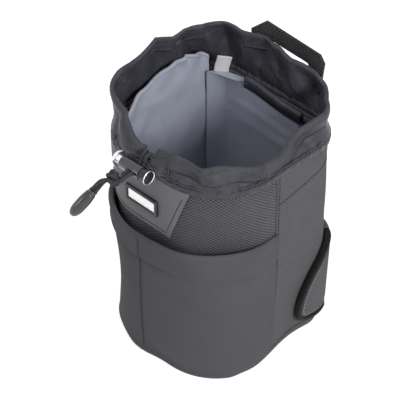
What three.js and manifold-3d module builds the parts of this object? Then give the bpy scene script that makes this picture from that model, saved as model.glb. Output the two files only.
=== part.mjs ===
// Padded lens pouch with a drawcord collar, stretch front pocket and belt carrier.
// Millimetres, +Z up. Origin on the floor under the middle of the pouch, front towards -Y.
import * as THREE from 'three';
import { mergeVertices } from 'three/addons/utils/BufferGeometryUtils.js';
import Module from 'manifold-3d';

const wasm = await Module();
wasm.setup();

// Clearance between pieces that touch
const GAP = 0.3;

// Body plan: wide front corners, tight rear corners
const HALF_WIDTH = 64.5;
const FRONT_DEPTH = 65;
const BACK_DEPTH = 61;
const FRONT_RADIUS = 48;
const REAR_RADIUS = 24;
const BODY_HEIGHT = 177;
const FRONT_CORNER_STEPS = 10;
const REAR_CORNER_STEPS = 7;
const STRAIGHT_STEP = 18;
const LEAST_STEP = 1.5;

// Wall layers, from the outside in
const SHELL_CLOTH = 1.6;
const WALL_PADDING = 7;
const LINER_CLOTH = 1;
const SIDE_SEAM_Y = -6;

// Base dish, padding and floor
const BASE_CLOTH = 1.8;
const BASE_EDGE_HEIGHT = 6.5;
const BASE_EDGE_INSET = 7;
const BASE_PADDING = 6;

// Loose back panel inside, its label, and the lining that stands up at the left
const BACK_PANEL_THICKNESS = 4.4;
const BACK_PANEL_RIGHT = 36;
const BACK_PANEL_CORNER_RUN = 3;
const BACK_PANEL_RISE = 6;
const BACK_PANEL_RADIUS = 6;
const LABEL_WIDTH = 11;
const LABEL_RISE = 12;
const LABEL_TUCK = 22;
const LABEL_CLOTH = 0.6;
const LABEL_X = -37.5;
const LINER_LEFT_RISE = 24;
const LINER_RISE_SPREAD = 42;
const LINER_END_RUN = 4;

// Collar: least height over the seam, how the rim rises and dips, and how far it leans in and bulges out
const COLLAR_CLOTH = 1;
const COLLAR_INSET = 1;
const COLLAR_HEIGHT = 21.5;
const RIM_RISE = 20.5;
const RIM_HIGH_BEARING = 140;
const RIM_HIGH_SHARE = 0.35;
const RIM_CORNER_RISE = 5.5;
const RIM_CORNER_SPREAD = 28;
const RIM_SIDE_RISE = 3;
const RIM_SIDE_SPREAD = 22;
const RIM_LOCK_DIP = 7;
const RIM_LOCK_SPREAD = 20;
const COLLAR_LEAN = 8;
const COLLAR_BULGE = 12.5;
const COLLAR_BULGE_SPREAD = 17;
const COLLAR_ROWS = 4;

// Rolled seam under the collar
const SEAM_ROLL_HEIGHT = 8;
const SEAM_ROLL_THICKNESS = 2.3;
const SEAM_ROLL_SHOULDER = 1.6;
const SEAM_ROLL_ROUND = 1.2;

// Drawcord hem along the rim
const CORD_DIAMETER = 3;
const CORD_SIDES = 8;
const HEM_HEIGHT = 9.5;
const HEM_CLOTH = 0.7;
const HEM_CORD_ROOM = 0.7;
const HEM_OPENING = 18;
const HEM_TUCK = 3;
const CORD_LEAD = 2.5;
const EXIT_PATCH_WIDTH = 22;
const EXIT_PATCH_CLOTH = 0.8;

// Front pocket and its elastic hem
const POCKET_CLOTH = 1.2;
const POCKET_HEIGHT = 122;
const POCKET_STANDOFF = 5.8;
const POCKET_FLARE = 1.2;
const POCKET_RIGHT_RISE = 4.5;
const POCKET_RIGHT_SPREAD = 34;
const POCKET_LEFT_RISE = 3;
const POCKET_LEFT_SPREAD = 16;
const POCKET_SAG = 4;
const POCKET_SAG_SPREAD = 24;
const POCKET_FOOT_RISE = 16;
const POCKET_HEM_HEIGHT = 22;
const POCKET_HEM_CLOTH = 0.8;

// Stitched front patch and the bare badge on it
const PATCH_CLOTH = 1;
const PATCH_CENTRE = -18;
const PATCH_TOP_HALF = 52;
const PATCH_BOTTOM_HALF = 36;
const PATCH_HEIGHT = 50;
const PATCH_LEAST_HEIGHT = 6;
const BADGE_WIDTH = 32;
const BADGE_HEIGHT = 14;
const BADGE_THICKNESS = 2;
const BADGE_BORDER = 2.6;
const BADGE_CORNER = 1.2;
const BADGE_X = -8.5;
const BADGE_DROP = 29.5;
const BADGE_PLATE_THICKNESS = 1.2;

// Belt carrier, belt loop and the wings that wrap the rear corners
const CARRIER_THICKNESS = 4.6;
const CARRIER_BOTTOM = 13;
const CARRIER_DROP = 57;
const CARRIER_SHOULDER = 14;
const LOOP_WEBBING = 1.6;
const LOOP_WIDTH = 50;
const LOOP_DEPTH = 7;
const LOOP_FOOT = 9;
const LOOP_SLOPE = 8;
const LOOP_INSET = 22;
const LOOP_MITRE = 0.7;
const WING_HINGE_DEGREES = 50;
const WING_REACH = 40;
const WING_BOTTOM = 13;
const WING_TOP = 87;
const WING_CORNER = 14;
const WING_FRONT_PULL = 25;
const WING_TOP_PULL = 9;
const WING_BINDING = 4;
const WING_BINDING_PROUD = 0.6;
const WING_FRONT_TRIM = 0.5;
const WING_STEPS = 40;
const WING_COLUMNS = 5;
const TAPE_INSET = 7;
const TAPE_HINGE_RUN = 6;
const LOOP_TAPE_CLOTH = 0.9;
const HOOK_TAPE_CLOTH = 0.8;

// Grab handle of folded webbing at the back
const HANDLE_WEBBING = 1.8;
const HANDLE_X = 4;
const HANDLE_WIDTH = 62;
const HANDLE_HEIGHT = 52.5;
const HANDLE_STRAP = 12;
const HANDLE_MITRE = 5.5;
const HANDLE_LEAN_DEGREES = 8.6;
const HANDLE_DROP = 6;
const HANDLE_STANDOFF = 3.5;
const ANCHOR_HEIGHT = 30;

// Cord lock: barrel across the front, sprung plunger at the left, cap at the right
const LOCK_X = -4.8;
const LOCK_STANDOFF = 11;
const LOCK_RISE = 5.3;
const LOCK_Y = -FRONT_DEPTH - LOCK_STANDOFF;
const LOCK_Z = BODY_HEIGHT + LOCK_RISE;
const BARREL_RADIUS = 5;
const BARREL_LENGTH = 24;
const BARREL_BORE = 3.6;
const BARREL_ROUND = 0.8;
const PLUNGER_CLEARANCE = 0.3;
const PLUNGER_TRAVEL = 3;
const PLUNGER_HEAD_RADIUS = 6.4;
const PLUNGER_HEAD_LENGTH = 3.5;
const PLUNGER_END_WALL = 1.8;
const CAP_FLANGE = 2;
const CAP_PROUD = 0.4;
const CAP_SPIGOT = 0.6;
const CORD_SPREAD = 1.6;
const CORD_HOLE_ROOM = 0.5;
const LOCK_SLIDE = 3;
const SPRING_WIRE = 0.55;
const SPRING_TURNS = 4;
const SPRING_STEPS_PER_TURN = 8;
const SPRING_SIDES = 5;
const LATHE_SIDES = 20;

// Drawcord strands between the hem, the lock and the knot
const STRAND_EXIT_SPREAD = 2.6;
const STRAND_EXIT_INSET = 1.8;
const STRAND_EXIT_LIFT = 0.3;
const STRAND_DROP = 4.6;
const STRAND_BEND = 2.4;
const STRAND_STRAIGHT = 0.5;
const STRAND_FRONT_LEFT = 0.6;
const STRAND_FRONT_RIGHT = 3;

// Cord tail: knot, short tail and the two halves of the pull, placed from the lock's middle
const fromLock = (x, y, z) => new THREE.Vector3(LOCK_X + x, LOCK_Y + y, LOCK_Z + z);
const KNOT_CENTRE = fromLock(-7.7, -17.5, -1.5);
const KNOT_RADIUS = 5;
const KNOT_FLATTENING = 0.86;
const TAIL_POINTS = [
  fromLock(-10.2, -20.4, -4.7),
  fromLock(-12.4, -22.9, -8.3),
  fromLock(-14.0, -24.7, -11.5),
  fromLock(-17.1, -27.9, -17.2),
];
const PULL_MOUTH = fromLock(-14.5, -25.2, -12.4);
const PULL_TIP = fromLock(-26.2, -37, -34.6);
const PULL_RADIUS = 4.6;
const PULL_MOUTH_RADIUS = 3.1;
const PULL_BORE_ROOM = 0.4;
const PULL_BORE_DEPTH = 8.5;

// Lengths along the plan, measured from the middle of the front round to the back
const FRONT_FLAT = HALF_WIDTH - FRONT_RADIUS;
const SIDE_START = FRONT_FLAT + FRONT_RADIUS * Math.PI / 2;
const REAR_START = SIDE_START + FRONT_DEPTH + BACK_DEPTH - FRONT_RADIUS - REAR_RADIUS;
const BACK_START = REAR_START + REAR_RADIUS * Math.PI / 2;
const REAR_FLAT = HALF_WIDTH - REAR_RADIUS;
const HALF_GIRTH = BACK_START + REAR_FLAT;
const GIRTH = 2 * HALF_GIRTH;
const SIDE_SEAM = SIDE_START + SIDE_SEAM_Y + FRONT_DEPTH - FRONT_RADIUS;
const FRONT_CORNER = (FRONT_FLAT + SIDE_START) / 2;
const LEFT_MIDDLE = -(SIDE_START + REAR_START) / 2;
const LEFT_SHOULDER = -(FRONT_CORNER + SIDE_START) / 2;
const WING_HINGE = REAR_START + REAR_RADIUS * THREE.MathUtils.degToRad(WING_HINGE_DEGREES);

// Depths of the wall layers under the outer face
const PADDING_OUT = -(SHELL_CLOTH + GAP);
const PADDING_IN = PADDING_OUT - WALL_PADDING;
const LINER_OUT = PADDING_IN - GAP;
const LINER_IN = LINER_OUT - LINER_CLOTH;
const FLOOR_TOP_OF_PADDING = BASE_CLOTH + GAP + BASE_PADDING;
const WALL_BOTTOM = BASE_EDGE_HEIGHT + GAP;
const WALL_TOP = BODY_HEIGHT - GAP;

// Heights that follow the body's height
const BACK_PANEL_TOP = BODY_HEIGHT + BACK_PANEL_RISE;
const LABEL_TOP = BACK_PANEL_TOP + LABEL_RISE;
const BADGE_Z = BODY_HEIGHT - BADGE_DROP;
const CARRIER_TOP = BODY_HEIGHT - CARRIER_DROP;
const HANDLE_PIVOT_Z = BODY_HEIGHT - HANDLE_DROP;

const group = new THREE.Group();

function add(name, geometry, color, roughness, metalness = 0) {
  const material = new THREE.MeshStandardMaterial({ color, roughness, metalness });
  const mesh = new THREE.Mesh(geometry, material);
  mesh.name = name;
  group.add(mesh);
  return mesh;
}

// Brings a length along the plan back to the range from the back, round the front, to the back
function wrap(s) {
  return s - GIRTH * Math.round(s / GIRTH);
}

// Point on the plan at length s, moved out by offset
function planPoint(s, offset) {
  const turned = wrap(s);
  const u = Math.abs(turned);
  let x = u;
  let y = -FRONT_DEPTH;
  let angle = 0;
  if (u > BACK_START) {
    angle = Math.PI;
    x = REAR_FLAT - (u - BACK_START);
    y = BACK_DEPTH;
  } else if (u > REAR_START) {
    angle = Math.PI / 2 + (u - REAR_START) / REAR_RADIUS;
    x = REAR_FLAT + REAR_RADIUS * Math.sin(angle);
    y = BACK_DEPTH - REAR_RADIUS - REAR_RADIUS * Math.cos(angle);
  } else if (u > SIDE_START) {
    angle = Math.PI / 2;
    x = HALF_WIDTH;
    y = FRONT_RADIUS - FRONT_DEPTH + u - SIDE_START;
  } else if (u > FRONT_FLAT) {
    angle = (u - FRONT_FLAT) / FRONT_RADIUS;
    x = FRONT_FLAT + FRONT_RADIUS * Math.sin(angle);
    y = FRONT_RADIUS - FRONT_DEPTH - FRONT_RADIUS * Math.cos(angle);
  }
  const across = x + Math.sin(angle) * offset;
  return new THREE.Vector2(turned < 0 ? -across : across, y - Math.cos(angle) * offset);
}

// Direction of a plan point seen from the middle of the pouch
function bearing(s) {
  const point = planPoint(s, 0);
  return Math.atan2(point.y, point.x);
}

function divide(from, to, count) {
  return Array.from({ length: count }, (_, i) => from + (to - from) * i / count);
}

// Lengths along the plan at which every layer has its corners
function stations(from, to) {
  const straight = (a, b) => divide(a, b, Math.max(1, Math.round((b - a) / STRAIGHT_STEP)));
  const right = [
    ...straight(0, FRONT_FLAT),
    ...divide(FRONT_FLAT, SIDE_START, FRONT_CORNER_STEPS),
    ...straight(SIDE_START, REAR_START),
    ...divide(REAR_START, BACK_START, REAR_CORNER_STEPS),
    ...straight(BACK_START, HALF_GIRTH),
  ];
  const once = [...right.slice(1).reverse().map((s) => -s), ...right, HALF_GIRTH];
  const twice = [...once, ...once.map((s) => s + GIRTH)];
  return [from, ...twice.filter((s) => s > from + LEAST_STEP && s < to - LEAST_STEP), to];
}

const RING = stations(-HALF_GIRTH, HALF_GIRTH).slice(1);

// Closed body from its triangles: joins equal corners and turns the faces out
function closeBody(geometry) {
  geometry.deleteAttribute('normal');
  geometry.deleteAttribute('uv');
  const merged = mergeVertices(geometry, 1e-4);
  const position = merged.getAttribute('position');
  const corner = (i) => new THREE.Vector3().fromBufferAttribute(position, i);
  const source = merged.getIndex().array;
  let index = [];
  let volume = 0;
  for (let i = 0; i < source.length; i += 3) {
    const [a, b, c] = [source[i], source[i + 1], source[i + 2]];
    if (a !== b && b !== c && c !== a) {
      index.push(a, b, c);
      volume += corner(a).dot(corner(b).cross(corner(c)));
    }
  }
  if (volume < 0) {
    index = index.reverse();
  }
  merged.setIndex(index);
  return merged;
}

// Skin over a row of sections with equal corner counts. Each corner is {flat, point}:
// flat is its place in the section's own plane, point its place in space.
function loft(sections, closed) {
  const count = sections[0].length;
  const vertices = sections.flat().flatMap((corner) => corner.point.toArray());
  const index = [];
  const rows = closed ? sections.length : sections.length - 1;
  for (let i = 0; i < rows; i += 1) {
    const next = (i + 1) % sections.length;
    for (let k = 0; k < count; k += 1) {
      const l = (k + 1) % count;
      const [a, b, c, d] = [i * count + k, next * count + k, next * count + l, i * count + l];
      index.push(a, b, c, a, c, d);
    }
  }
  if (!closed) {
    for (const row of [0, sections.length - 1]) {
      const flat = sections[row].map((corner) => corner.flat);
      const faces = THREE.ShapeUtils.triangulateShape(flat, []);
      const faceArea = (f) => THREE.ShapeUtils.area(f.map((i) => flat[i]));
      const total = faces.reduce((sum, f) => sum + faceArea(f), 0);
      const forward = Math.sign(total) === Math.sign(THREE.ShapeUtils.area(flat));
      for (const [p, q, r] of faces) {
        const turn = forward === (row === 0) ? [p, q, r] : [p, r, q];
        index.push(...turn.map((i) => row * count + i));
      }
    }
  }
  const geometry = new THREE.BufferGeometry();
  geometry.setAttribute('position', new THREE.Float32BufferAttribute(vertices, 3));
  geometry.setIndex(index);
  return closeBody(geometry);
}

// Section standing on the plan at s: a closed outline of [offset, z] corners
function standing(s, outline) {
  return outline.map(([offset, z]) => {
    const p = planPoint(s, offset);
    return { flat: new THREE.Vector2(offset, z), point: new THREE.Vector3(p.x, p.y, z) };
  });
}

// Wall that follows the plan, with the outline that profile gives at each length
function wall(lengths, closed, profile) {
  return loft(lengths.map((s) => standing(s, profile(s))), closed);
}

const strip = (inner, outer, bottom, top) => [[inner, bottom], [outer, bottom], [outer, top], [inner, top]];

// Body with the plan's outline at every [offset, z] of a profile, closed at both ends
function stack(profile) {
  const ring = ([offset, z]) => RING.map((s) => {
    const p = planPoint(s, offset);
    return { flat: p, point: new THREE.Vector3(p.x, p.y, z) };
  });
  return loft(profile.map(ring), false);
}

// Upright plate from an outline in X and Z, from back face y0 forward to y1
function plate(shape, y0, y1) {
  const options = { depth: y1 - y0, bevelEnabled: false, curveSegments: 4 };
  const geometry = new THREE.ExtrudeGeometry(shape, options);
  geometry.rotateX(Math.PI / 2);
  geometry.translate(0, y1, 0);
  return closeBody(geometry);
}

function roundedOutline(x0, z0, x1, z1, radius) {
  const shape = new THREE.Shape();
  shape.moveTo(x0 + radius, z0);
  shape.lineTo(x1 - radius, z0);
  shape.absarc(x1 - radius, z0 + radius, radius, -Math.PI / 2, 0, false);
  shape.lineTo(x1, z1 - radius);
  shape.absarc(x1 - radius, z1 - radius, radius, 0, Math.PI / 2, false);
  shape.lineTo(x0 + radius, z1);
  shape.absarc(x0 + radius, z1 - radius, radius, Math.PI / 2, Math.PI, false);
  shape.lineTo(x0, z0 + radius);
  shape.absarc(x0 + radius, z0 + radius, radius, Math.PI, Math.PI * 1.5, false);
  return shape;
}

// Revolved body along X from [x, radius] corners
function turned(profile) {
  const points = profile.map(([x, radius]) => new THREE.Vector2(radius, x));
  const geometry = new THREE.LatheGeometry(points, LATHE_SIDES);
  geometry.rotateZ(-Math.PI / 2);
  return closeBody(geometry);
}

function toSolid(geometry) {
  const vertProperties = new Float32Array(geometry.getAttribute('position').array);
  const triVerts = new Uint32Array(geometry.getIndex().array);
  return new wasm.Manifold(new wasm.Mesh({ numProp: 3, vertProperties, triVerts }));
}

function fromSolid(solid) {
  const mesh = solid.getMesh();
  const geometry = new THREE.BufferGeometry();
  geometry.setAttribute('position', new THREE.Float32BufferAttribute(mesh.vertProperties, 3));
  geometry.setIndex([...mesh.triVerts]);
  return geometry;
}

function block(width, depth, height, x, y, z) {
  const geometry = new THREE.BoxGeometry(width, depth, height);
  geometry.translate(x, y, z);
  return toSolid(closeBody(geometry));
}

// Round tube along a curve
function tube(curve, radius, sides, steps) {
  const corner = (i) => {
    const angle = i * 2 * Math.PI / sides;
    return new THREE.Vector2(radius * Math.cos(angle), radius * Math.sin(angle));
  };
  const shape = new THREE.Shape(Array.from({ length: sides }, (_, i) => corner(i)));
  return closeBody(new THREE.ExtrudeGeometry(shape, { steps, extrudePath: curve, bevelEnabled: false }));
}

// Smooth hill of a given height around one place on the plan
function hill(height, s, centre, spread) {
  const away = wrap(s - centre) / spread;
  return height * Math.exp(-away * away);
}

function smooth(value) {
  return THREE.MathUtils.smoothstep(value, 0, 1);
}

// Outer cloth: woven front panel and plain rear panel, meeting at the side seams
function addShell() {
  const outline = () => strip(-SHELL_CLOTH, 0, WALL_BOTTOM, WALL_TOP);
  const seam = SIDE_SEAM - GAP / 2;
  add('outer_front_panel', wall(stations(-seam, seam), false, outline), 0x1d1d1f, 0.85);
  const rear = stations(SIDE_SEAM + GAP / 2, GIRTH - SIDE_SEAM - GAP / 2);
  add('outer_rear_panel', wall(rear, false, outline), 0x222225, 0.8);
}

// Base: a dish with a rounded lower edge, its padding and the lined floor
function addBase() {
  // Shares of the edge's inset and height, from the floor up
  const edge = [[1, 0], [0.34, 0.14], [0.09, 0.5], [0, 1]];
  const outside = edge.map(([inset, rise]) => [-BASE_EDGE_INSET * inset, BASE_EDGE_HEIGHT * rise]);
  const inside = edge.map(([inset, rise]) => [-BASE_EDGE_INSET * inset - BASE_CLOTH,
    BASE_EDGE_HEIGHT * rise + BASE_CLOTH * (1 - rise)]);
  add('base_panel', stack([...outside, ...inside.reverse()]), 0x1b1b1d, 0.8);
  const foamEdge = LINER_OUT + BASE_PADDING - GAP;
  add('base_foam', stack([[foamEdge - 2 * BASE_CLOTH, BASE_CLOTH + GAP],
    [foamEdge, BASE_EDGE_HEIGHT / 2], [foamEdge, FLOOR_TOP_OF_PADDING]]), 0x3b3b3d, 0.95);
  const floorBottom = FLOOR_TOP_OF_PADDING + GAP;
  const floor = stack([[LINER_OUT, floorBottom], [LINER_OUT, floorBottom + LINER_CLOTH]]);
  add('liner_floor', floor, 0x9aa0aa, 0.9);
}

// Wall padding, the lining round left, front and right, the loose back panel and its label
function addInside() {
  const floorTop = FLOOR_TOP_OF_PADDING + GAP + LINER_CLOTH + GAP;
  const padding = () => strip(PADDING_IN, PADDING_OUT, FLOOR_TOP_OF_PADDING + GAP, WALL_TOP);
  add('wall_foam', wall(RING, true, padding), 0x3b3b3d, 0.95);
  const linerTop = (s) => WALL_TOP + hill(LINER_LEFT_RISE, s, LEFT_MIDDLE, LINER_RISE_SPREAD);
  const linerEnd = REAR_START + LINER_END_RUN;
  const lining = (s) => strip(LINER_IN, LINER_OUT, floorTop, linerTop(s));
  add('liner_wrap', wall(stations(-linerEnd, linerEnd), false, lining), 0x9aa0aa, 0.9);
  const labelBack = BACK_DEPTH + PADDING_IN - GAP;
  const panelBack = labelBack - LABEL_CLOTH - GAP;
  const panelLeft = -REAR_FLAT - BACK_PANEL_CORNER_RUN;
  const panel = roundedOutline(panelLeft, floorTop, BACK_PANEL_RIGHT, BACK_PANEL_TOP, BACK_PANEL_RADIUS);
  add('liner_back_panel', plate(panel, panelBack - BACK_PANEL_THICKNESS, panelBack), 0x8d939e, 0.9);
  const label = new THREE.Shape([
    new THREE.Vector2(LABEL_X - LABEL_WIDTH / 2, BACK_PANEL_TOP - LABEL_TUCK),
    new THREE.Vector2(LABEL_X + LABEL_WIDTH / 2, BACK_PANEL_TOP - LABEL_TUCK),
    new THREE.Vector2(LABEL_X + LABEL_WIDTH / 2, LABEL_TOP),
    new THREE.Vector2(LABEL_X - LABEL_WIDTH / 2, LABEL_TOP),
  ]);
  add('care_label', plate(label, labelBack - LABEL_CLOTH, labelBack), 0xe9e8e6, 0.7);
}

// Height of the collar's rim, which is high at the back and left and dips at the lock
function rimHeight(s) {
  const turned = bearing(s) - THREE.MathUtils.degToRad(RIM_HIGH_BEARING);
  return BODY_HEIGHT + COLLAR_HEIGHT + RIM_RISE * smooth(RIM_HIGH_SHARE + Math.cos(turned))
    + hill(RIM_CORNER_RISE, s, FRONT_CORNER, RIM_CORNER_SPREAD)
    + hill(RIM_SIDE_RISE, s, REAR_START, RIM_SIDE_SPREAD)
    - hill(RIM_LOCK_DIP, s, LOCK_X, RIM_LOCK_SPREAD);
}

// Offset of the collar's middle surface: upright at the back, leaning in at the front, baggy at the left
function collarOffset(s, z) {
  const front = 0.5 - 0.5 * Math.sin(bearing(s));
  const climb = Math.max(0, (z - BODY_HEIGHT) / (rimHeight(s) - BODY_HEIGHT));
  const lean = hill(COLLAR_BULGE, s, LEFT_SHOULDER, COLLAR_BULGE_SPREAD) - COLLAR_LEAN * front * front;
  return -COLLAR_INSET + lean * climb * climb;
}

// Half the width of the hem where the cord runs, and at its sewn foot
const HEM_BELLY = CORD_DIAMETER / 2 + HEM_CORD_ROOM + HEM_CLOTH;
const HEM_FOOT = COLLAR_CLOTH / 2 + GAP + HEM_CLOTH;

function cordHeight(s) {
  return rimHeight(s) - HEM_BELLY;
}

// Pear-shaped hem outline, open at the foot where the collar goes in
function hemOutline(s) {
  const foot = rimHeight(s) - HEM_HEIGHT;
  const cord = cordHeight(s);
  const axis = collarOffset(s, cord);
  const footAxis = collarOffset(s, foot);
  const arc = (radius) => [0, 45, 90, 135, 180].map((degrees) => {
    const angle = THREE.MathUtils.degToRad(degrees);
    return [axis + radius * Math.cos(angle), cord + radius * Math.sin(angle)];
  });
  return [
    [footAxis + HEM_FOOT, foot],
    ...arc(HEM_BELLY),
    [footAxis - HEM_FOOT, foot],
    [footAxis - HEM_FOOT + HEM_CLOTH, foot],
    ...arc(HEM_BELLY - HEM_CLOTH).reverse(),
    [footAxis + HEM_FOOT - HEM_CLOTH, foot],
  ];
}

// Collar cloth, the rolled seam at its foot, the cord hem along its rim and the sewn exit patch
function addCollar() {
  const bottom = BODY_HEIGHT;
  const cloth = (s) => {
    const top = rimHeight(s) - HEM_HEIGHT + HEM_TUCK;
    const heights = [...divide(bottom, top, COLLAR_ROWS), top];
    const outer = heights.map((z) => [collarOffset(s, z) + COLLAR_CLOTH / 2, z]);
    const inner = heights.map((z) => [collarOffset(s, z) - COLLAR_CLOTH / 2, z]);
    return [...outer, ...inner.reverse()];
  };
  add('collar', wall(RING, true, cloth), 0x141416, 0.75);
  const low = BODY_HEIGHT - SEAM_ROLL_HEIGHT / 2;
  const high = BODY_HEIGHT + SEAM_ROLL_HEIGHT / 2;
  const roll = () => [
    [GAP, low], [GAP + SEAM_ROLL_SHOULDER, low + SEAM_ROLL_ROUND],
    [GAP + SEAM_ROLL_THICKNESS, BODY_HEIGHT],
    [GAP + SEAM_ROLL_SHOULDER, high - SEAM_ROLL_ROUND], [GAP, high],
  ];
  add('collar_seam_band', wall(RING, true, roll), 0x151517, 0.8);
  const hem = stations(LOCK_X + HEM_OPENING / 2, LOCK_X - HEM_OPENING / 2 + GIRTH);
  add('collar_hem_channel', wall(hem, false, hemOutline), 0x141416, 0.75);
  const patchStart = LOCK_X + HEM_OPENING / 2;
  const patch = (s) => {
    const foot = rimHeight(s) - HEM_HEIGHT;
    const inner = collarOffset(s, foot) + HEM_FOOT + GAP;
    const cord = cordHeight(s);
    const upper = collarOffset(s, cord) + HEM_BELLY + GAP;
    return [[inner, foot], [inner + EXIT_PATCH_CLOTH, foot], [upper + EXIT_PATCH_CLOTH, cord], [upper, cord]];
  };
  const patchRun = stations(patchStart, patchStart + EXIT_PATCH_WIDTH);
  add('cord_exit_patch', wall(patchRun, false, patch), 0x1a1a1c, 0.8);
}

// Height of the pocket's mouth, which rises at the front corners and sags below the patch
function pocketTop(s) {
  return POCKET_HEIGHT + hill(POCKET_RIGHT_RISE, s, FRONT_CORNER, POCKET_RIGHT_SPREAD)
    + hill(POCKET_LEFT_RISE, s, -FRONT_CORNER, POCKET_LEFT_SPREAD)
    - hill(POCKET_SAG, s, PATCH_CENTRE, POCKET_SAG_SPREAD);
}

// Stretch pocket across the front, standing off the wall and flaring to its mouth, with its elastic hem
function addPocket() {
  const knee = WALL_BOTTOM + POCKET_FOOT_RISE;
  const standoff = (s, z) => {
    const share = smooth((SIDE_SEAM - Math.abs(s)) / (SIDE_SEAM - FRONT_CORNER));
    const flare = POCKET_FLARE * (z - knee) / (pocketTop(s) - knee);
    return GAP + (POCKET_STANDOFF + flare - GAP) * share;
  };
  const cloth = (s) => {
    const top = pocketTop(s);
    const [foot, mouth] = [standoff(s, knee), standoff(s, top)];
    return [[GAP, WALL_BOTTOM], [GAP + POCKET_CLOTH, WALL_BOTTOM], [foot + POCKET_CLOTH, knee],
      [mouth + POCKET_CLOTH, top], [mouth, top], [foot, knee]];
  };
  const lengths = stations(-SIDE_SEAM, SIDE_SEAM);
  add('front_pocket', wall(lengths, false, cloth), 0x1c1c1f, 0.9);
  const hem = (s) => {
    const top = pocketTop(s);
    const low = top - POCKET_HEM_HEIGHT;
    const [foot, mouth] = [low, top].map((z) => standoff(s, z) + POCKET_CLOTH + GAP);
    return [[foot, low], [foot + POCKET_HEM_CLOTH, low], [mouth + POCKET_HEM_CLOTH, top], [mouth, top]];
  };
  add('pocket_hem', wall(lengths, false, hem), 0x1e1e21, 0.9);
}

// Stitched patch that narrows downwards, with the bare badge fixed on it
function addFrontPatch() {
  const top = BODY_HEIGHT - SEAM_ROLL_HEIGHT / 2 - GAP;
  const lowest = BODY_HEIGHT - PATCH_HEIGHT;
  const cloth = (s) => {
    const away = Math.abs(s - PATCH_CENTRE);
    const share = Math.max(0, (away - PATCH_BOTTOM_HALF) / (PATCH_TOP_HALF - PATCH_BOTTOM_HALF));
    const bottom = Math.min(top - PATCH_LEAST_HEIGHT, lowest + (top - lowest) * share);
    return strip(GAP, GAP + PATCH_CLOTH, bottom, top);
  };
  const edges = [PATCH_CENTRE - PATCH_BOTTOM_HALF, PATCH_CENTRE + PATCH_BOTTOM_HALF];
  const lengths = [...stations(PATCH_CENTRE - PATCH_TOP_HALF, PATCH_CENTRE + PATCH_TOP_HALF), ...edges];
  add('front_patch', wall(lengths.sort((a, b) => a - b), false, cloth), 0x1a1a1b, 0.6);

  const back = -FRONT_DEPTH - GAP - PATCH_CLOTH - GAP;
  const frame = (inset) => roundedOutline(
    BADGE_X - BADGE_WIDTH / 2 + inset, BADGE_Z - BADGE_HEIGHT / 2 + inset,
    BADGE_X + BADGE_WIDTH / 2 - inset, BADGE_Z + BADGE_HEIGHT / 2 - inset, BADGE_CORNER);
  const rim = frame(0);
  rim.holes.push(frame(BADGE_BORDER));
  add('badge_frame', plate(rim, back - BADGE_THICKNESS, back), 0x0d0d0e, 0.35);
  const insert = frame(BADGE_BORDER + GAP);
  add('badge_plate', plate(insert, back - BADGE_PLATE_THICKNESS, back), 0xb9bcc0, 0.4, 0.3);
}

// Border of a wing from its lower root to its upper root, as reach in front of the hinge against height
function wingBorder(inset) {
  const shape = new THREE.Path();
  shape.moveTo(WING_BINDING, WING_BOTTOM);
  shape.lineTo(WING_REACH - WING_CORNER, WING_BOTTOM);
  shape.quadraticCurveTo(WING_REACH, WING_BOTTOM, WING_REACH, WING_BOTTOM + WING_CORNER);
  shape.bezierCurveTo(WING_REACH, WING_BOTTOM + WING_CORNER + WING_FRONT_PULL,
    WING_BINDING + WING_TOP_PULL, WING_TOP, WING_BINDING, WING_TOP);
  const points = shape.getSpacedPoints(WING_STEPS);
  return points.map((point, i) => {
    const before = points[Math.max(0, i - 1)];
    const after = points[Math.min(WING_STEPS, i + 1)];
    const along = after.clone().sub(before).normalize();
    return new THREE.Vector2(point.x - along.y * inset, point.y + along.x * inset);
  });
}

// Height where a run of border points crosses a reach
function heightAt(points, reach) {
  const i = Math.max(1, points.findIndex((point) => point.x >= reach));
  const [a, b] = [points[i - 1], points[i]];
  return THREE.MathUtils.mapLinear(reach, a.x, b.x, a.y, b.y);
}

// Cloth of a wing inside its border; side is 1 for the right wing and -1 for the left
function wingCloth(side, inset, run, inner, outer) {
  const border = wingBorder(inset);
  const front = border.reduce((best, point, i) => (point.x > border[best].x ? i : best), 0);
  const lower = border.slice(0, front + 1);
  const upper = border.slice(front).reverse();
  const far = WING_HINGE - border[front].x + WING_FRONT_TRIM;
  const round = stations(Math.max(far, REAR_START), WING_HINGE - run);
  const lengths = [...round, ...divide(far, REAR_START, WING_COLUMNS)];
  const profile = (s) => {
    const reach = WING_HINGE - Math.abs(s);
    return strip(inner, outer, heightAt(lower, reach), heightAt(upper, reach));
  };
  return wall(lengths.sort((a, b) => a - b).map((s) => side * s), false, profile);
}

// Bound edge of a wing, a strip along its border
function wingBinding(side, inner, outer) {
  const inside = wingBorder(WING_BINDING);
  const sections = wingBorder(0).map((edge, i) => {
    const corner = (place, offset) => {
      const p = planPoint(side * (WING_HINGE - place.x), offset);
      return {
        flat: new THREE.Vector2(place.distanceTo(edge), offset),
        point: new THREE.Vector3(p.x, p.y, place.y),
      };
    };
    return [corner(edge, inner), corner(edge, outer), corner(inside[i], outer), corner(inside[i], inner)];
  });
  return loft(sections, false);
}

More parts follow.
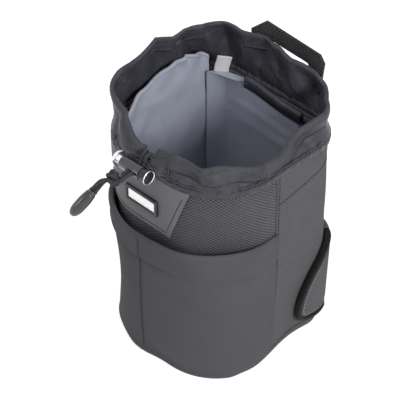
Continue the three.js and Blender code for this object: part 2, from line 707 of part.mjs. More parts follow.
// Wings that close on the side walls: loop tape on the wall, then hook tape, pad and bound edge
function addWings() {
  const hookIn = GAP + LOOP_TAPE_CLOTH + GAP;
  const padIn = hookIn + HOOK_TAPE_CLOTH + GAP;
  const padOut = 2 * GAP + CARRIER_THICKNESS;
  for (const [word, side] of [['right', 1], ['left', -1]]) {
    const loop = wingCloth(side, TAPE_INSET, TAPE_HINGE_RUN, GAP, GAP + LOOP_TAPE_CLOTH);
    add(`side_loop_tape_${word}`, loop, 0x111112, 1);
    const hook = wingCloth(side, TAPE_INSET, TAPE_HINGE_RUN, hookIn, hookIn + HOOK_TAPE_CLOTH);
    add(`wing_${word}_hook_tape`, hook, 0x0f0f10, 0.9);
    add(`wing_${word}_pad`, wingCloth(side, WING_BINDING + GAP, 0, padIn, padOut), 0x2a2a2d, 0.85);
    add(`wing_${word}_binding`, wingBinding(side, 2 * GAP, padOut + WING_BINDING_PROUD), 0x121213, 0.8);
  }
}

// Padded carrier across the back between the wings, with the belt loop sewn on it
function addCarrier() {
  const inner = 2 * GAP;
  const outer = inner + CARRIER_THICKNESS;
  const end = WING_HINGE + GAP;
  const cloth = (s) => {
    const share = 1 - smooth((Math.abs(wrap(s)) - BACK_START) / CARRIER_SHOULDER);
    const bottom = CARRIER_BOTTOM + (WING_BINDING + 1) * share;
    const top = CARRIER_TOP + (WING_TOP - WING_BINDING - 1 - CARRIER_TOP) * share;
    return strip(inner, outer, bottom, top);
  };
  add('belt_carrier', wall(stations(end, GIRTH - end), false, cloth), 0x232326, 0.85);

  const face = BACK_DEPTH + outer + GAP;
  const low = CARRIER_BOTTOM + LOOP_INSET;
  const high = CARRIER_TOP - GAP;
  const crown = face + LOOP_DEPTH;
  const side = [[face, low], [face, low + LOOP_FOOT], [crown, low + LOOP_FOOT + LOOP_SLOPE],
    [crown, high - LOOP_FOOT - LOOP_SLOPE], [face, high - LOOP_FOOT], [face, high]];
  const outside = [[face, high], [face, high - LOOP_FOOT + LOOP_MITRE],
    [crown, high - LOOP_FOOT - LOOP_SLOPE + LOOP_MITRE],
    [crown, low + LOOP_FOOT + LOOP_SLOPE - LOOP_MITRE], [face, low + LOOP_FOOT - LOOP_MITRE], [face, low]]
    .map(([y, z]) => [y + LOOP_WEBBING, z]);
  const shape = new THREE.Shape([...side, ...outside].map(([y, z]) => new THREE.Vector2(y, z)));
  const loop = new THREE.ExtrudeGeometry(shape, { depth: LOOP_WIDTH, bevelEnabled: false });
  loop.translate(0, 0, -LOOP_WIDTH / 2);
  loop.applyMatrix4(new THREE.Matrix4().makeBasis(
    new THREE.Vector3(0, 1, 0), new THREE.Vector3(0, 0, 1), new THREE.Vector3(1, 0, 0)));
  add('belt_loop', closeBody(loop), 0x161617, 0.8);
}

// Webbing handle with mitred corners, leaning back over the collar, and its two sewn ends
function addHandle() {
  const half = HANDLE_WIDTH / 2;
  const inner = half - HANDLE_STRAP;
  const bar = HANDLE_HEIGHT - HANDLE_STRAP;
  const innerMitre = HANDLE_MITRE / 2;
  const outline = new THREE.Shape([
    [-half, GAP], [-inner, GAP], [-inner, bar - innerMitre], [-inner + innerMitre, bar],
    [inner - innerMitre, bar], [inner, bar - innerMitre], [inner, GAP], [half, GAP],
    [half, HANDLE_HEIGHT - HANDLE_MITRE], [half - HANDLE_MITRE, HANDLE_HEIGHT],
    [HANDLE_MITRE - half, HANDLE_HEIGHT], [-half, HANDLE_HEIGHT - HANDLE_MITRE],
  ].map(([x, z]) => new THREE.Vector2(x, z)));
  const handle = add('grab_handle', plate(outline, -HANDLE_WEBBING / 2, HANDLE_WEBBING / 2), 0x17171a, 0.7);
  handle.position.set(HANDLE_X, BACK_DEPTH + HANDLE_STANDOFF, HANDLE_PIVOT_Z);
  handle.rotation.x = -THREE.MathUtils.degToRad(HANDLE_LEAN_DEGREES);
  const anchorBack = BACK_DEPTH + GAP + HANDLE_WEBBING;
  for (const [word, side] of [['left', -1], ['right', 1]]) {
    const middle = HANDLE_X + side * (half - HANDLE_STRAP / 2);
    const top = HANDLE_PIVOT_Z - GAP;
    const end = new THREE.Shape([
      new THREE.Vector2(middle - HANDLE_STRAP / 2, top - ANCHOR_HEIGHT),
      new THREE.Vector2(middle + HANDLE_STRAP / 2, top - ANCHOR_HEIGHT),
      new THREE.Vector2(middle + HANDLE_STRAP / 2, top),
      new THREE.Vector2(middle - HANDLE_STRAP / 2, top),
    ]);
    add(`handle_anchor_${word}`, plate(end, BACK_DEPTH + GAP, anchorBack), 0x17171a, 0.7);
  }
}

// Smallest distance between turns of a tube, on points at least half a turn apart
function leastTurnGap(curve, turns, diameter) {
  const perTurn = 24;
  const points = curve.getSpacedPoints(turns * perTurn);
  let least = Infinity;
  points.forEach((p, i) => points.slice(i + perTurn / 2).forEach((q) => {
    least = Math.min(least, p.distanceTo(q));
  }));
  return least - diameter;
}

class Helix extends THREE.Curve {
  constructor(radius, from, to, turns) {
    super();
    Object.assign(this, { radius, from, to, turns });
  }

  getPoint(t, target = new THREE.Vector3()) {
    const angle = t * this.turns * 2 * Math.PI;
    return target.set(this.from + (this.to - this.from) * t,
      this.radius * Math.cos(angle), this.radius * Math.sin(angle));
  }
}

// Cord lock across the front: barrel, plunger with its button, spring and end cap
function addCordLock() {
  const half = BARREL_LENGTH / 2;
  const place = (mesh) => mesh.position.set(LOCK_X, LOCK_Y, LOCK_Z);
  const holeHalf = CORD_SPREAD + CORD_DIAMETER / 2 + CORD_HOLE_ROOM;
  const holeHeight = CORD_DIAMETER + 2 * CORD_HOLE_ROOM;
  const through = 4 * BARREL_RADIUS;

  const tubeBody = toSolid(turned([
    [-half, BARREL_BORE], [-half, BARREL_RADIUS - BARREL_ROUND], [BARREL_ROUND - half, BARREL_RADIUS],
    [half - BARREL_ROUND, BARREL_RADIUS], [half, BARREL_RADIUS - BARREL_ROUND], [half, BARREL_BORE],
    [-half, BARREL_BORE],
  ]));
  const crossHole = block(2 * holeHalf, through, holeHeight, 0, 0, 0);
  place(add('cord_lock_barrel', fromSolid(tubeBody.subtract(crossHole)), 0x6f7277, 0.35, 0.9));

  const stem = BARREL_BORE - PLUNGER_CLEARANCE;
  const stemEnd = holeHalf + PLUNGER_END_WALL;
  const headRight = -half - PLUNGER_TRAVEL - GAP;
  const headLeft = headRight - PLUNGER_HEAD_LENGTH;
  const stemBody = toSolid(turned([
    [headLeft, 0], [headLeft, PLUNGER_HEAD_RADIUS - BARREL_ROUND],
    [headLeft + BARREL_ROUND, PLUNGER_HEAD_RADIUS],
    [headRight, PLUNGER_HEAD_RADIUS], [headRight, stem], [stemEnd, stem], [stemEnd, 0],
  ]));
  const slot = block(2 * holeHalf + PLUNGER_TRAVEL, through, holeHeight, -PLUNGER_TRAVEL / 2, 0, 0);
  place(add('cord_lock_plunger', fromSolid(stemBody.subtract(slot)), 0xd5d6d8, 0.2, 1));

  const spigotLeft = half - CAP_SPIGOT;
  const flangeLeft = half + GAP;
  const flangeRadius = BARREL_RADIUS + CAP_PROUD;
  place(add('cord_lock_end_cap', turned([
    [spigotLeft, 0], [spigotLeft, stem], [flangeLeft, stem], [flangeLeft, flangeRadius],
    [flangeLeft + CAP_FLANGE - BARREL_ROUND, flangeRadius],
    [flangeLeft + CAP_FLANGE, flangeRadius - BARREL_ROUND], [flangeLeft + CAP_FLANGE, 0],
  ]), 0xc9cacc, 0.2, 1));

  const coil = new Helix(stem - SPRING_WIRE, stemEnd + GAP + SPRING_WIRE / 2,
    spigotLeft - GAP - SPRING_WIRE / 2, SPRING_TURNS);
  console.log('cord lock spring, least gap between turns (mm):',
    leastTurnGap(coil, SPRING_TURNS, SPRING_WIRE).toFixed(2));
  const wire = tube(coil, SPRING_WIRE / 2, SPRING_SIDES, SPRING_TURNS * SPRING_STEPS_PER_TURN);
  place(add('cord_lock_spring', wire, 0xb8b8ba, 0.3, 1));
}

// Place just outside the knot in a direction from its middle, where a cord goes in
function atKnot(direction, away) {
  const stretched = new THREE.Vector3(1, 1 / KNOT_FLATTENING, 1 / KNOT_FLATTENING).multiply(direction);
  const surface = KNOT_RADIUS * direction.length() / stretched.length();
  return KNOT_CENTRE.clone().addScaledVector(direction.clone().normalize(), surface + away);
}

// Drawcord: from the knot through the lock, round the hem and back through the lock to the knot
function addDrawcord() {
  const radius = CORD_DIAMETER / 2;
  const hemStart = LOCK_X + HEM_OPENING / 2 - CORD_LEAD;
  const hemEnd = LOCK_X - HEM_OPENING / 2 + CORD_LEAD + GIRTH;
  const lead = [hemStart, hemStart + CORD_LEAD, hemStart + 3 * CORD_LEAD];
  const trail = [hemEnd - 3 * CORD_LEAD, hemEnd - CORD_LEAD, hemEnd];
  const around = stations(lead[2], trail[0]).slice(1, -1);
  const inHem = [...lead, ...around, ...trail].map((s) => {
    const z = cordHeight(s);
    const p = planPoint(s, collarOffset(s, z));
    return new THREE.Vector3(p.x, p.y, z);
  });
  const lockFront = LOCK_Y - BARREL_RADIUS - LOCK_SLIDE;
  const rearX = (side) => LOCK_X + side * CORD_SPREAD;
  const lockBack = LOCK_Y + BARREL_RADIUS;
  // Both strands leave the hem over the collar's edge, drop to the lock and run straight through it
  const strand = (side) => [
    new THREE.Vector3(LOCK_X + side * STRAND_EXIT_SPREAD, STRAND_EXIT_INSET - FRONT_DEPTH,
      cordHeight(LOCK_X) + STRAND_EXIT_LIFT),
    new THREE.Vector3(rearX(side), lockBack + STRAND_DROP, LOCK_Z + STRAND_DROP),
    new THREE.Vector3(rearX(side), lockBack + STRAND_BEND, LOCK_Z + STRAND_STRAIGHT),
    new THREE.Vector3(rearX(side), lockBack - STRAND_STRAIGHT, LOCK_Z),
    new THREE.Vector3(rearX(side), LOCK_Y - CORD_DIAMETER, LOCK_Z),
    new THREE.Vector3(rearX(side), lockFront - (side > 0 ? STRAND_FRONT_RIGHT : STRAND_FRONT_LEFT), LOCK_Z),
  ];
  const intoKnot = (direction) => [atKnot(direction, CORD_DIAMETER), atKnot(direction, 1.5 * GAP)];
  const leftEnd = intoKnot(new THREE.Vector3(0.75, 0.65, 0.12));
  const rightEnd = intoKnot(new THREE.Vector3(0.96, -0.1, 0.1));
  const points = [...rightEnd.reverse(), ...strand(1).reverse(), ...inHem, ...strand(-1), ...leftEnd];
  const curve = new THREE.CatmullRomCurve3(points, false, 'centripetal');
  const steps = Math.round(curve.getLength() / (2 * CORD_DIAMETER));
  add('drawcord', tube(curve, radius, CORD_SIDES, steps), 0x101011, 0.75);
}

// Tail of the drawcord: knot, cord and the two shells of the pull
function addCordTail() {
  const knot = new THREE.SphereGeometry(KNOT_RADIUS, 10, 8);
  knot.scale(1, KNOT_FLATTENING, KNOT_FLATTENING);
  add('cord_knot', closeBody(knot), 0x101011, 0.75).position.copy(KNOT_CENTRE);

  const curve = new THREE.CatmullRomCurve3(TAIL_POINTS);
  add('cord_tail', tube(curve, CORD_DIAMETER / 2, CORD_SIDES, TAIL_POINTS.length), 0x101011, 0.75);

  const axis = PULL_TIP.clone().sub(PULL_MOUTH);
  const length = axis.length();
  const bore = CORD_DIAMETER / 2 + PULL_BORE_ROOM;
  const body = toSolid(turned([
    [PULL_BORE_DEPTH, 0], [PULL_BORE_DEPTH, bore], [0, bore], [0, PULL_MOUTH_RADIUS],
    [length * 0.16, PULL_RADIUS * 0.78], [length * 0.34, PULL_RADIUS], [length * 0.66, PULL_RADIUS * 0.97],
    [length * 0.87, PULL_RADIUS * 0.74], [length * 0.97, PULL_RADIUS * 0.36], [length, 0],
    [PULL_BORE_DEPTH, 0],
  ]));
  const turn = new THREE.Quaternion().setFromUnitVectors(new THREE.Vector3(1, 0, 0), axis.normalize());
  const reach = 4 * PULL_RADIUS;
  for (const [word, side] of [['front', -1], ['back', 1]]) {
    const keep = block(2 * length, reach, 2 * reach, length / 2, side * (reach / 2 + GAP / 2), 0);
    const shell = add(`cord_end_shell_${word}`, fromSolid(body.intersect(keep)), 0x0e0e0f, 0.25);
    shell.position.copy(PULL_MOUTH);
    shell.quaternion.copy(turn);
  }
}

addShell();
addBase();
addInside();
addCollar();
addPocket();
addFrontPatch();
addCarrier();
addWings();
addHandle();
addCordLock();
addDrawcord();
addCordTail();

export default group;
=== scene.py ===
# Lens pouch in cloth, padding, webbing and metal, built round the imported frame, with +Z up.
# Shapes are worked out in millimetres.
import math
from collections import namedtuple

import bpy
import numpy as np
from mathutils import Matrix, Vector


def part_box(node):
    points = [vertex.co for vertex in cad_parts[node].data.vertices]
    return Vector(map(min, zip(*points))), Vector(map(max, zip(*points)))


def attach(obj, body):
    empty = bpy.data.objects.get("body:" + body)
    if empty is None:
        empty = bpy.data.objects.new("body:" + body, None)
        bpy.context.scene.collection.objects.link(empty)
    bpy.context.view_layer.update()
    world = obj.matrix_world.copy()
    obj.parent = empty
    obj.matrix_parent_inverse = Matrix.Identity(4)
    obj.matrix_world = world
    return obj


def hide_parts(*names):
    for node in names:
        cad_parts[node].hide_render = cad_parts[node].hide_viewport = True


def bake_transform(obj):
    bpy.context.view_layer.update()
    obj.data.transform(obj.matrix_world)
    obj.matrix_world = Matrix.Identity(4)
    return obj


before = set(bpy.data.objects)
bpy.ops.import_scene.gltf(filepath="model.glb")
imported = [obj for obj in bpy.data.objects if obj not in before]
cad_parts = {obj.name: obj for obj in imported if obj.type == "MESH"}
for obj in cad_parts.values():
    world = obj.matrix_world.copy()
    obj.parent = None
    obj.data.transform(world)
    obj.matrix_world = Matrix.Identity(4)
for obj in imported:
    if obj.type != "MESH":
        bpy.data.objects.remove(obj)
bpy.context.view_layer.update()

MM = 0.001
TURN = 2 * math.pi
QUARTER = math.pi / 2
GAP = 0.3
Point = namedtuple("Point", "x y z")


def point(place):
    """A place in metres as a point in millimetres."""
    return Point(*(value / MM for value in place))


def box(node):
    """Lowest and highest corner of a CAD node, in millimetres."""
    return [point(corner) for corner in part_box(node)]


# Body plan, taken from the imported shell: wide front corners, tight rear corners
HALF_WIDTH = box("outer_rear_panel")[1].x
FRONT_DEPTH = -box("outer_front_panel")[0].y
BACK_DEPTH = box("outer_rear_panel")[1].y
WALL_BOTTOM, WALL_TOP = (corner.z for corner in box("outer_front_panel"))
BODY_HEIGHT = WALL_TOP + GAP
FRONT_RADIUS = 48
REAR_RADIUS = 24
FRONT_FLAT = HALF_WIDTH - FRONT_RADIUS
SIDE_START = FRONT_FLAT + FRONT_RADIUS * QUARTER
REAR_START = SIDE_START + FRONT_DEPTH + BACK_DEPTH - FRONT_RADIUS - REAR_RADIUS
BACK_START = REAR_START + REAR_RADIUS * QUARTER
REAR_FLAT = HALF_WIDTH - REAR_RADIUS
HALF_GIRTH = BACK_START + REAR_FLAT
GIRTH = 2 * HALF_GIRTH
SIDE_SEAM = SIDE_START + FRONT_DEPTH - FRONT_RADIUS - 6
FRONT_CORNER = (FRONT_FLAT + SIDE_START) / 2
LEFT_MIDDLE = -(SIDE_START + REAR_START) / 2
LEFT_SHOULDER = -(FRONT_CORNER + SIDE_START) / 2
WING_HINGE = REAR_START + REAR_RADIUS * math.radians(50)

# Cloth of the shell and its sewn lines
SHELL_CLOTH = 0.9
YOKE_HEIGHT = 149.5
SEAM_PINCH = 2.2

# Collar and cord hem
COLLAR_HEIGHT = 21.5
COLLAR_CLOTH = 0.45
COLLAR_SLACK = 0.01
HEM_HEIGHT = 9.5
HEM_TUCK = 3
HEM_ROLL = 1.9
HEM_OPENING = 12
CORD_DROP = 3.4
CORD_OUT = 0.8
CORD_DIAMETER = 3
TAIL_DIAMETER = 2.8

# Pocket
POCKET_RISE = 4.5
POCKET_HEIGHT = box("front_pocket")[1].z - POCKET_RISE
POCKET_HEM_HEIGHT = 22
POCKET_SEAM = -6

# Cord lock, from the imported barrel
LOCK_LOW, LOCK_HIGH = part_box("cord_lock_barrel")
LOCK_PLACE = (LOCK_LOW + LOCK_HIGH) / 2
LOCK = point(LOCK_PLACE)
BARREL_RADIUS = (LOCK_HIGH.z - LOCK_LOW.z) / 2 / MM
BARREL_BORE = 3.6


# Fields and finishes: procedural materials

class Field:
    """A number that a material works out at every point. Sums, products and waves of fields add nodes."""

    def __init__(self, tree, socket):
        self.tree = tree
        self.socket = socket

    def math(self, operation, *others):
        node = self.tree.nodes.new("ShaderNodeMath")
        node.operation = operation
        for slot, value in zip(node.inputs, (self, *others)):
            if isinstance(value, Field):
                self.tree.links.new(value.socket, slot)
            else:
                slot.default_value = value
        return Field(self.tree, node.outputs[0])

    def __add__(self, other):
        return self.math("ADD", other)

    def __sub__(self, other):
        return self.math("SUBTRACT", other)

    def __mul__(self, other):
        return self.math("MULTIPLY", other)

    def wave(self, length):
        """Sine of a length, with this wavelength in millimetres."""
        return (self * (TURN / (length * MM))).math("SINE")

    def size(self):
        return self.math("ABSOLUTE")

    def power(self, exponent):
        return self.math("POWER", exponent)

    def larger(self, other):
        return self.math("MAXIMUM", other)


class Finish:
    """A procedural material: fields feed its colour, its roughness and its relief."""

    def __init__(self, name, roughness, sheen=0.0, gloss=0.5, metallic=0.0):
        self.name = name
        self.material = bpy.data.materials.new(name)
        self.material.use_nodes = True
        self.tree = self.material.node_tree
        self.shader = self.tree.nodes["Principled BSDF"]
        for socket, value in (("Roughness", roughness), ("Metallic", metallic), ("Sheen Weight", sheen),
                              ("Specular IOR Level", gloss)):
            self.shader.inputs[socket].default_value = value

    def node(self, kind, **inputs):
        node = self.tree.nodes.new(kind)
        for name, value in inputs.items():
            node.inputs[name].default_value = value
        return node

    def join(self, output, slot):
        self.tree.links.new(output, slot)

    def place(self, kind="Object"):
        """Where a point lies: along the object's axes, or with UV along and across the cloth."""
        return self.node("ShaderNodeTexCoord").outputs[kind]

    def axes(self, kind="Object"):
        node = self.node("ShaderNodeSeparateXYZ")
        self.join(self.place(kind), node.inputs[0])
        return [Field(self.tree, output) for output in node.outputs]

    def cloth(self):
        return self.axes("UV")[:2]

    def noise(self, size, detail=3.0, stretch=(1, 1, 1)):
        """Soft spots of about this size, from 0 to 1."""
        node = self.node("ShaderNodeTexNoise", Scale=1 / (size * MM), Detail=detail)
        mapping = self.node("ShaderNodeMapping", Scale=stretch)
        self.join(self.place(), mapping.inputs[0])
        self.join(mapping.outputs[0], node.inputs["Vector"])
        return Field(self.tree, node.outputs[0])

    def cells(self, size):
        """Distance from the middle of each cell of about this size."""
        node = self.node("ShaderNodeTexVoronoi", Scale=1 / (size * MM))
        self.join(self.place(), node.inputs["Vector"])
        return Field(self.tree, node.outputs["Distance"])

    def colour(self, field, low, high):
        node = self.node("ShaderNodeMix")
        node.data_type = "RGBA"
        self.join(field.socket, node.inputs[0])
        node.inputs[6].default_value = (*low, 1)
        node.inputs[7].default_value = (*high, 1)
        self.join(node.outputs[2], self.shader.inputs["Base Color"])

    def shades(self, field, colour, low, high):
        """A colour from its low to its high share."""
        self.colour(field, *([channel * share for channel in colour] for share in (low, high)))

    def dull(self, field, low, high):
        """Roughness from low to high."""
        node = self.node("ShaderNodeMapRange")
        self.join(field.socket, node.inputs[0])
        for slot, value in zip(list(node.inputs)[1:5], (0, 1, low, high)):
            slot.default_value = value
        self.join(node.outputs[0], self.shader.inputs["Roughness"])

    def relief(self, field, depth):
        node = self.node("ShaderNodeBump", Distance=depth * MM, Strength=1.0)
        self.join(field.socket, node.inputs["Height"])
        linked = self.shader.inputs["Normal"].links
        if linked:
            self.join(linked[0].from_socket, node.inputs["Normal"])
        self.join(node.outputs[0], self.shader.inputs["Normal"])
        return self


def woven(name, colour, pitch, depth, roughness=0.85):
    """Plain weave: threads over and under each other, with lighter slubs and a slight mottle."""
    finish = Finish(name, roughness, 0.05, 0.2)
    u, v = finish.cloth()
    weave = u.wave(pitch) * v.wave(pitch)
    slubs = finish.noise(1.1, 3)
    spots = finish.noise(14, 4)
    finish.shades(weave * 0.2 + slubs * 0.7 + spots * 0.35, colour, 0.55, 1.4)
    finish.dull(spots, roughness - 0.08, roughness + 0.06)
    finish.relief(slubs, depth)
    return finish.relief(weave, depth)


def dobby_weave():
    """Coarse dobby: rows of small raised diamonds with dark pits between them; the colour follows their
    height, with painted shade in the pits and painted highlight on the raised diamonds.
    """
    finish = Finish("dobby_weave", 0.55, 0.03, 0.35)
    u, v = finish.cloth()
    diamonds = ((u + v * 1.35).wave(7) * (u - v * 1.35).wave(7)).size().power(0.7)
    # The diamond pattern is the weave's own; its strong contrast, near black in the pits and much lighter on
    # the tops, is painted shade and painted highlight
    finish.shades(diamonds * 0.85 + finish.noise(20, 3) * 0.25, (0.076, 0.075, 0.083), 0.05, 1.7)
    finish.dull(diamonds, 0.75, 0.45)
    return finish.relief(diamonds, 0.9)


def ripstop():
    """Thin coated cloth with a grid of thicker threads, and soft spots of much lighter and darker colour
    painted in as the light and shade of crumpled cloth.
    """
    finish = Finish("ripstop", 0.4, 0.03, 0.26)
    u, v = finish.cloth()
    grid = u.wave(4.4).size().power(40).larger(v.wave(4.4).size().power(40))
    weave = u.wave(1.3) * v.wave(1.3)
    spots = finish.noise(9, 5)
    # Painted light and shade: the soft spots carry most of the colour, from a quarter to nearly twice the
    # base, standing in for the lit and shaded facets of crumples
    finish.shades(grid * 0.3 + weave * 0.2 + spots * 0.8, (0.043, 0.043, 0.055), 0.25, 1.9)
    finish.dull(spots, 0.28, 0.40)
    finish.relief(finish.noise(7, 4), 0.6)
    return finish.relief(grid * 0.7 + weave * 0.3, 0.2)


def stretch_knit():
    """Smooth stretch cloth with very fine slanting ribs."""
    finish = Finish("stretch_knit", 0.82, 0.06, 0.15)
    u, v = finish.cloth()
    ribs = (u + v).wave(1.1)
    slubs = finish.noise(1.4, 3)
    finish.shades(ribs * 0.1 + finish.noise(26, 4) * 0.6 + slubs * 0.35, (0.092, 0.091, 0.103), 0.75, 1.25)
    finish.relief(slubs, 0.12)
    return finish.relief(ribs, 0.06)


def webbing(name, colour, pitch):
    """Ribbed webbing: slanting ribs across the strap."""
    finish = Finish(name, 0.6, 0.03, 0.25)
    u, v = finish.cloth()
    ribs = (u + v).wave(pitch)
    cross = u.wave(pitch * 0.8)
    finish.shades(ribs * 0.35 + cross * 0.15 + finish.noise(8, 3) * 0.6, colour, 0.3, 1.5)
    finish.relief(cross, 0.15)
    return finish.relief(ribs, 0.4)


def lining():
    """Soft brushed lining."""
    finish = Finish("lining", 0.82, 0.1, 0.2)
    nap = finish.noise(1.2, 4)
    finish.shades(nap * 0.35 + finish.noise(18, 3) * 0.65, (0.36, 0.38, 0.46), 0.8, 1.15)
    return finish.relief(nap, 0.25)


def grained(name, colour, size, depth, low, high, gloss=0.5):
    """Fine leather-like or moulded grain."""
    finish = Finish(name, low, gloss=gloss)
    cells = finish.cells(size)
    spots = finish.noise(12 * size, 3)
    finish.shades(spots * 0.8 + cells * 0.3, colour, 0.82, 1.18)
    finish.dull(spots, low, high)
    return finish.relief(cells, depth)


def metal(name, colour, low, high, along=(1, 1, 1)):
    """Turned or polished metal with a faint grain."""
    finish = Finish(name, low, metallic=1.0)
    grain = finish.noise(0.9, 3, along)
    finish.shades(grain, colour, 0.85, 1.08)
    finish.dull(grain, low, high)
    return finish.relief(grain, 0.015)


def braided(name, colour):
    """Braided cord: crossing strands round it."""
    finish = Finish(name, 0.7, 0.03, 0.2)
    u, v = finish.cloth()
    strands = ((u + v).wave(2.3) * (u - v).wave(2.3)).size()
    finish.shades(strands * 0.8 + finish.noise(5) * 0.3, colour, 0.4, 1.35)
    return finish.relief(strands, 0.35)


def thread(name, colour):
    """Twisted sewing thread."""
    finish = Finish(name, 0.6, gloss=0.2)
    x, y, z = finish.axes()
    twist = (x + y + z).wave(0.6)
    finish.shades(twist * 0.5 + finish.noise(4) * 0.5, colour, 0.7, 1.2)
    return finish.relief(twist, 0.08)


def label_tape():
    finish = Finish("label_tape", 0.55, 0.05)
    v = finish.cloth()[1]
    finish.colour(finish.noise(6, 3), (0.66, 0.65, 0.64), (0.84, 0.83, 0.82))
    return finish.relief(v.wave(0.5), 0.08)


def hook_pile(name, pitch):
    """Hook or loop tape: rows of tiny bristles."""
    finish = Finish(name, 0.9, 0.05, 0.1)
    u, v = finish.cloth()
    rows = u.wave(pitch) * v.wave(pitch)
    tufts = finish.noise(0.9, 4)
    finish.colour(tufts * 0.7 + rows * 0.2, (0.006, 0.006, 0.007), (0.035, 0.035, 0.038))
    finish.relief(tufts, 0.6)
    return finish.relief(rows, 0.4)


FINISH = {finish.name: finish for finish in (
    dobby_weave(), stretch_knit(), ripstop(), lining(),
    woven("nylon_weave", (0.112, 0.111, 0.122), 1.5, 0.22),
    woven("carrier_face", (0.118, 0.117, 0.126), 1.6, 0.28, 0.8),
    grained("foam", (0.05, 0.05, 0.055), 0.8, 0.2, 0.85, 0.98),
    grained("patch", (0.150, 0.148, 0.162), 0.55, 0.05, 0.5, 0.62, 0.3),
    grained("badge_black", (0.012, 0.012, 0.013), 0.5, 0.02, 0.3, 0.42),
    grained("pull", (0.010, 0.010, 0.012), 0.7, 0.005, 0.14, 0.2, 0.8),
    metal("badge_silver", (0.80, 0.81, 0.82), 0.42, 0.55, (0.05, 1, 1)),
    metal("gunmetal", (0.10, 0.10, 0.107), 0.14, 0.24, (0.06, 1, 1)),
    metal("chrome", (0.86, 0.87, 0.88), 0.24, 0.34),
    webbing("webbing", (0.054, 0.053, 0.058), 2.4),
    webbing("binding", (0.006, 0.006, 0.007), 1.6),
    hook_pile("hook_loop", 1.6),
    braided("cord", (0.066, 0.065, 0.071)),
    thread("thread", (0.014, 0.014, 0.016)),
    thread("thread_pale", (0.42, 0.42, 0.43)))}
FINISH["label"] = label_tape()


# Shapes: the plan, skins over points, tubes, turned bodies and stitches

def unit(vectors):
    return vectors / np.linalg.norm(vectors, axis=-1, keepdims=True)


def grid(*fields):
    """Points from their coordinates."""
    return np.stack(np.broadcast_arrays(*fields), -1)


def shares(count):
    """Column of numbers from 0 to 1."""
    return np.linspace(0, 1, count)[:, None]


def bell(distance, width):
    return np.exp(-(distance / width) ** 2)


def smooth(value):
    value = np.clip(value, 0, 1)
    return value * value * (3 - 2 * value)


def wrap(s):
    return s - GIRTH * np.round(s / GIRTH)


def hill(s, centre, width):
    return bell(wrap(s - centre), width)


def plan(s, out):
    """Place on the plan: length along it from the front middle, and distance out of it."""
    turned = wrap(s)
    u = np.abs(turned)
    front = np.clip((u - FRONT_FLAT) / FRONT_RADIUS, 0, QUARTER)
    rear = np.clip((u - REAR_START) / REAR_RADIUS, 0, QUARTER)
    x = np.minimum(u, FRONT_FLAT) + FRONT_RADIUS * np.sin(front)
    x = x - REAR_RADIUS * (1 - np.cos(rear)) - np.maximum(u - BACK_START, 0)
    y = FRONT_RADIUS * (1 - np.cos(front)) - FRONT_DEPTH + REAR_RADIUS * np.sin(rear)
    y = y + np.clip(u - SIDE_START, 0, REAR_START - SIDE_START)
    x = x + np.sin(front + rear) * out
    y = y - np.cos(front + rear) * out
    return np.where(turned < 0, -x, x), y


def fullness(s, z):
    """How the filled pouch stands out of its plan: full at the upper left, slack below it, with a foot that
    spreads at the front and is drawn in at the right."""
    upper = 3.2 * hill(s, -66, 30) * smooth((z - 95) / 75)
    slack = 2.6 * hill(s, -56, 28) * bell(z - 48, 34)
    spread = 2.1 * smooth((76 - np.abs(wrap(s))) / 14) + 3.6 * hill(s, -12, 16) + hill(s, -48, 18)
    drawn = 5.8 * hill(s, 130, 30) * smooth((95 - z) / 95)
    return upper - slack - drawn + spread * smooth((24 - z) / 24)


def stand(s, out, z):
    """Points over the plan of the filled pouch: length along it, distance out of it, and height."""
    s, out, z = np.broadcast_arrays(np.asarray(s, float), out, z)
    return grid(*plan(s, out + fullness(s, z)), z)


def outward(s):
    return stand(s, 1.0, 0.0) - stand(s, 0.0, 0.0)


def bearing(s):
    x, y = plan(np.asarray(s, float), 0.0)
    return np.arctan2(y, x)


def waves(seed, longest, shortest, count=12):
    """Smooth noise over the cloth, of about unit size, as a function of length and height."""
    draw = np.random.default_rng(seed)
    length = np.exp(draw.uniform(math.log(shortest), math.log(longest), count))
    lean = draw.uniform(-0.9, 0.9, count)
    turns = np.maximum(1, np.round(GIRTH * np.cos(lean) / length))
    phase = draw.uniform(0, TURN, count)

    def noise(s, z=0.0):
        total = 0
        for n, wavelength, tilt, start in zip(turns, length, lean, phase):
            total = total + np.sin(TURN * (s * n / GIRTH + z * math.sin(tilt) / wavelength) + start)
        return total / math.sqrt(count / 2)

    return noise


def lengths(path):
    """Length along a path up to each of its points."""
    return np.r_[0, np.cumsum(np.linalg.norm(np.diff(path, axis=0), axis=1))]


def new_mesh(points, faces):
    mesh = bpy.data.meshes.new("piece")
    mesh.from_pydata(points.reshape(-1, 3) * MM, [], faces)
    mesh.shade_smooth()
    return mesh


def skin(points, uv=None, loop=False, ring=False, caps=False):
    """Quad mesh over points[row, column]. loop joins the last column to the first, ring the last row to the
    first, and caps closes the first and the last row."""
    rows, columns = points.shape[:2]
    if uv is None:
        lines = points[rows // 2], points[:, columns // 2]
        uv = np.stack(np.meshgrid(*(lengths(np.vstack([line, line[:1]])) for line in lines)), -1)
    i, j = np.mgrid[0:rows - (not ring), 0:columns - (not loop)]
    steps = ((0, 0), (0, 1), (1, 1), (1, 0))
    index = [((i + a) % rows * columns + (j + b) % columns).ravel() for a, b in steps]
    faces = np.stack(index, -1).tolist()
    corners = np.stack([uv[i + a, j + b].reshape(-1, 2) for a, b in steps], 1).reshape(-1, 2)
    if caps:
        ends = [np.arange(columns)[::-1], (rows - 1) * columns + np.arange(columns)]
        faces += [end.tolist() for end in ends]
        corners = np.concatenate([corners, *[uv[end // columns, end % columns] for end in ends]])
    mesh = new_mesh(points, faces)
    mesh.uv_layers.new(name="Cloth").uv.foreach_set("vector", (corners * MM).astype(np.float32).ravel())
    return mesh


def closed(points):
    return skin(points, loop=True, caps=True)


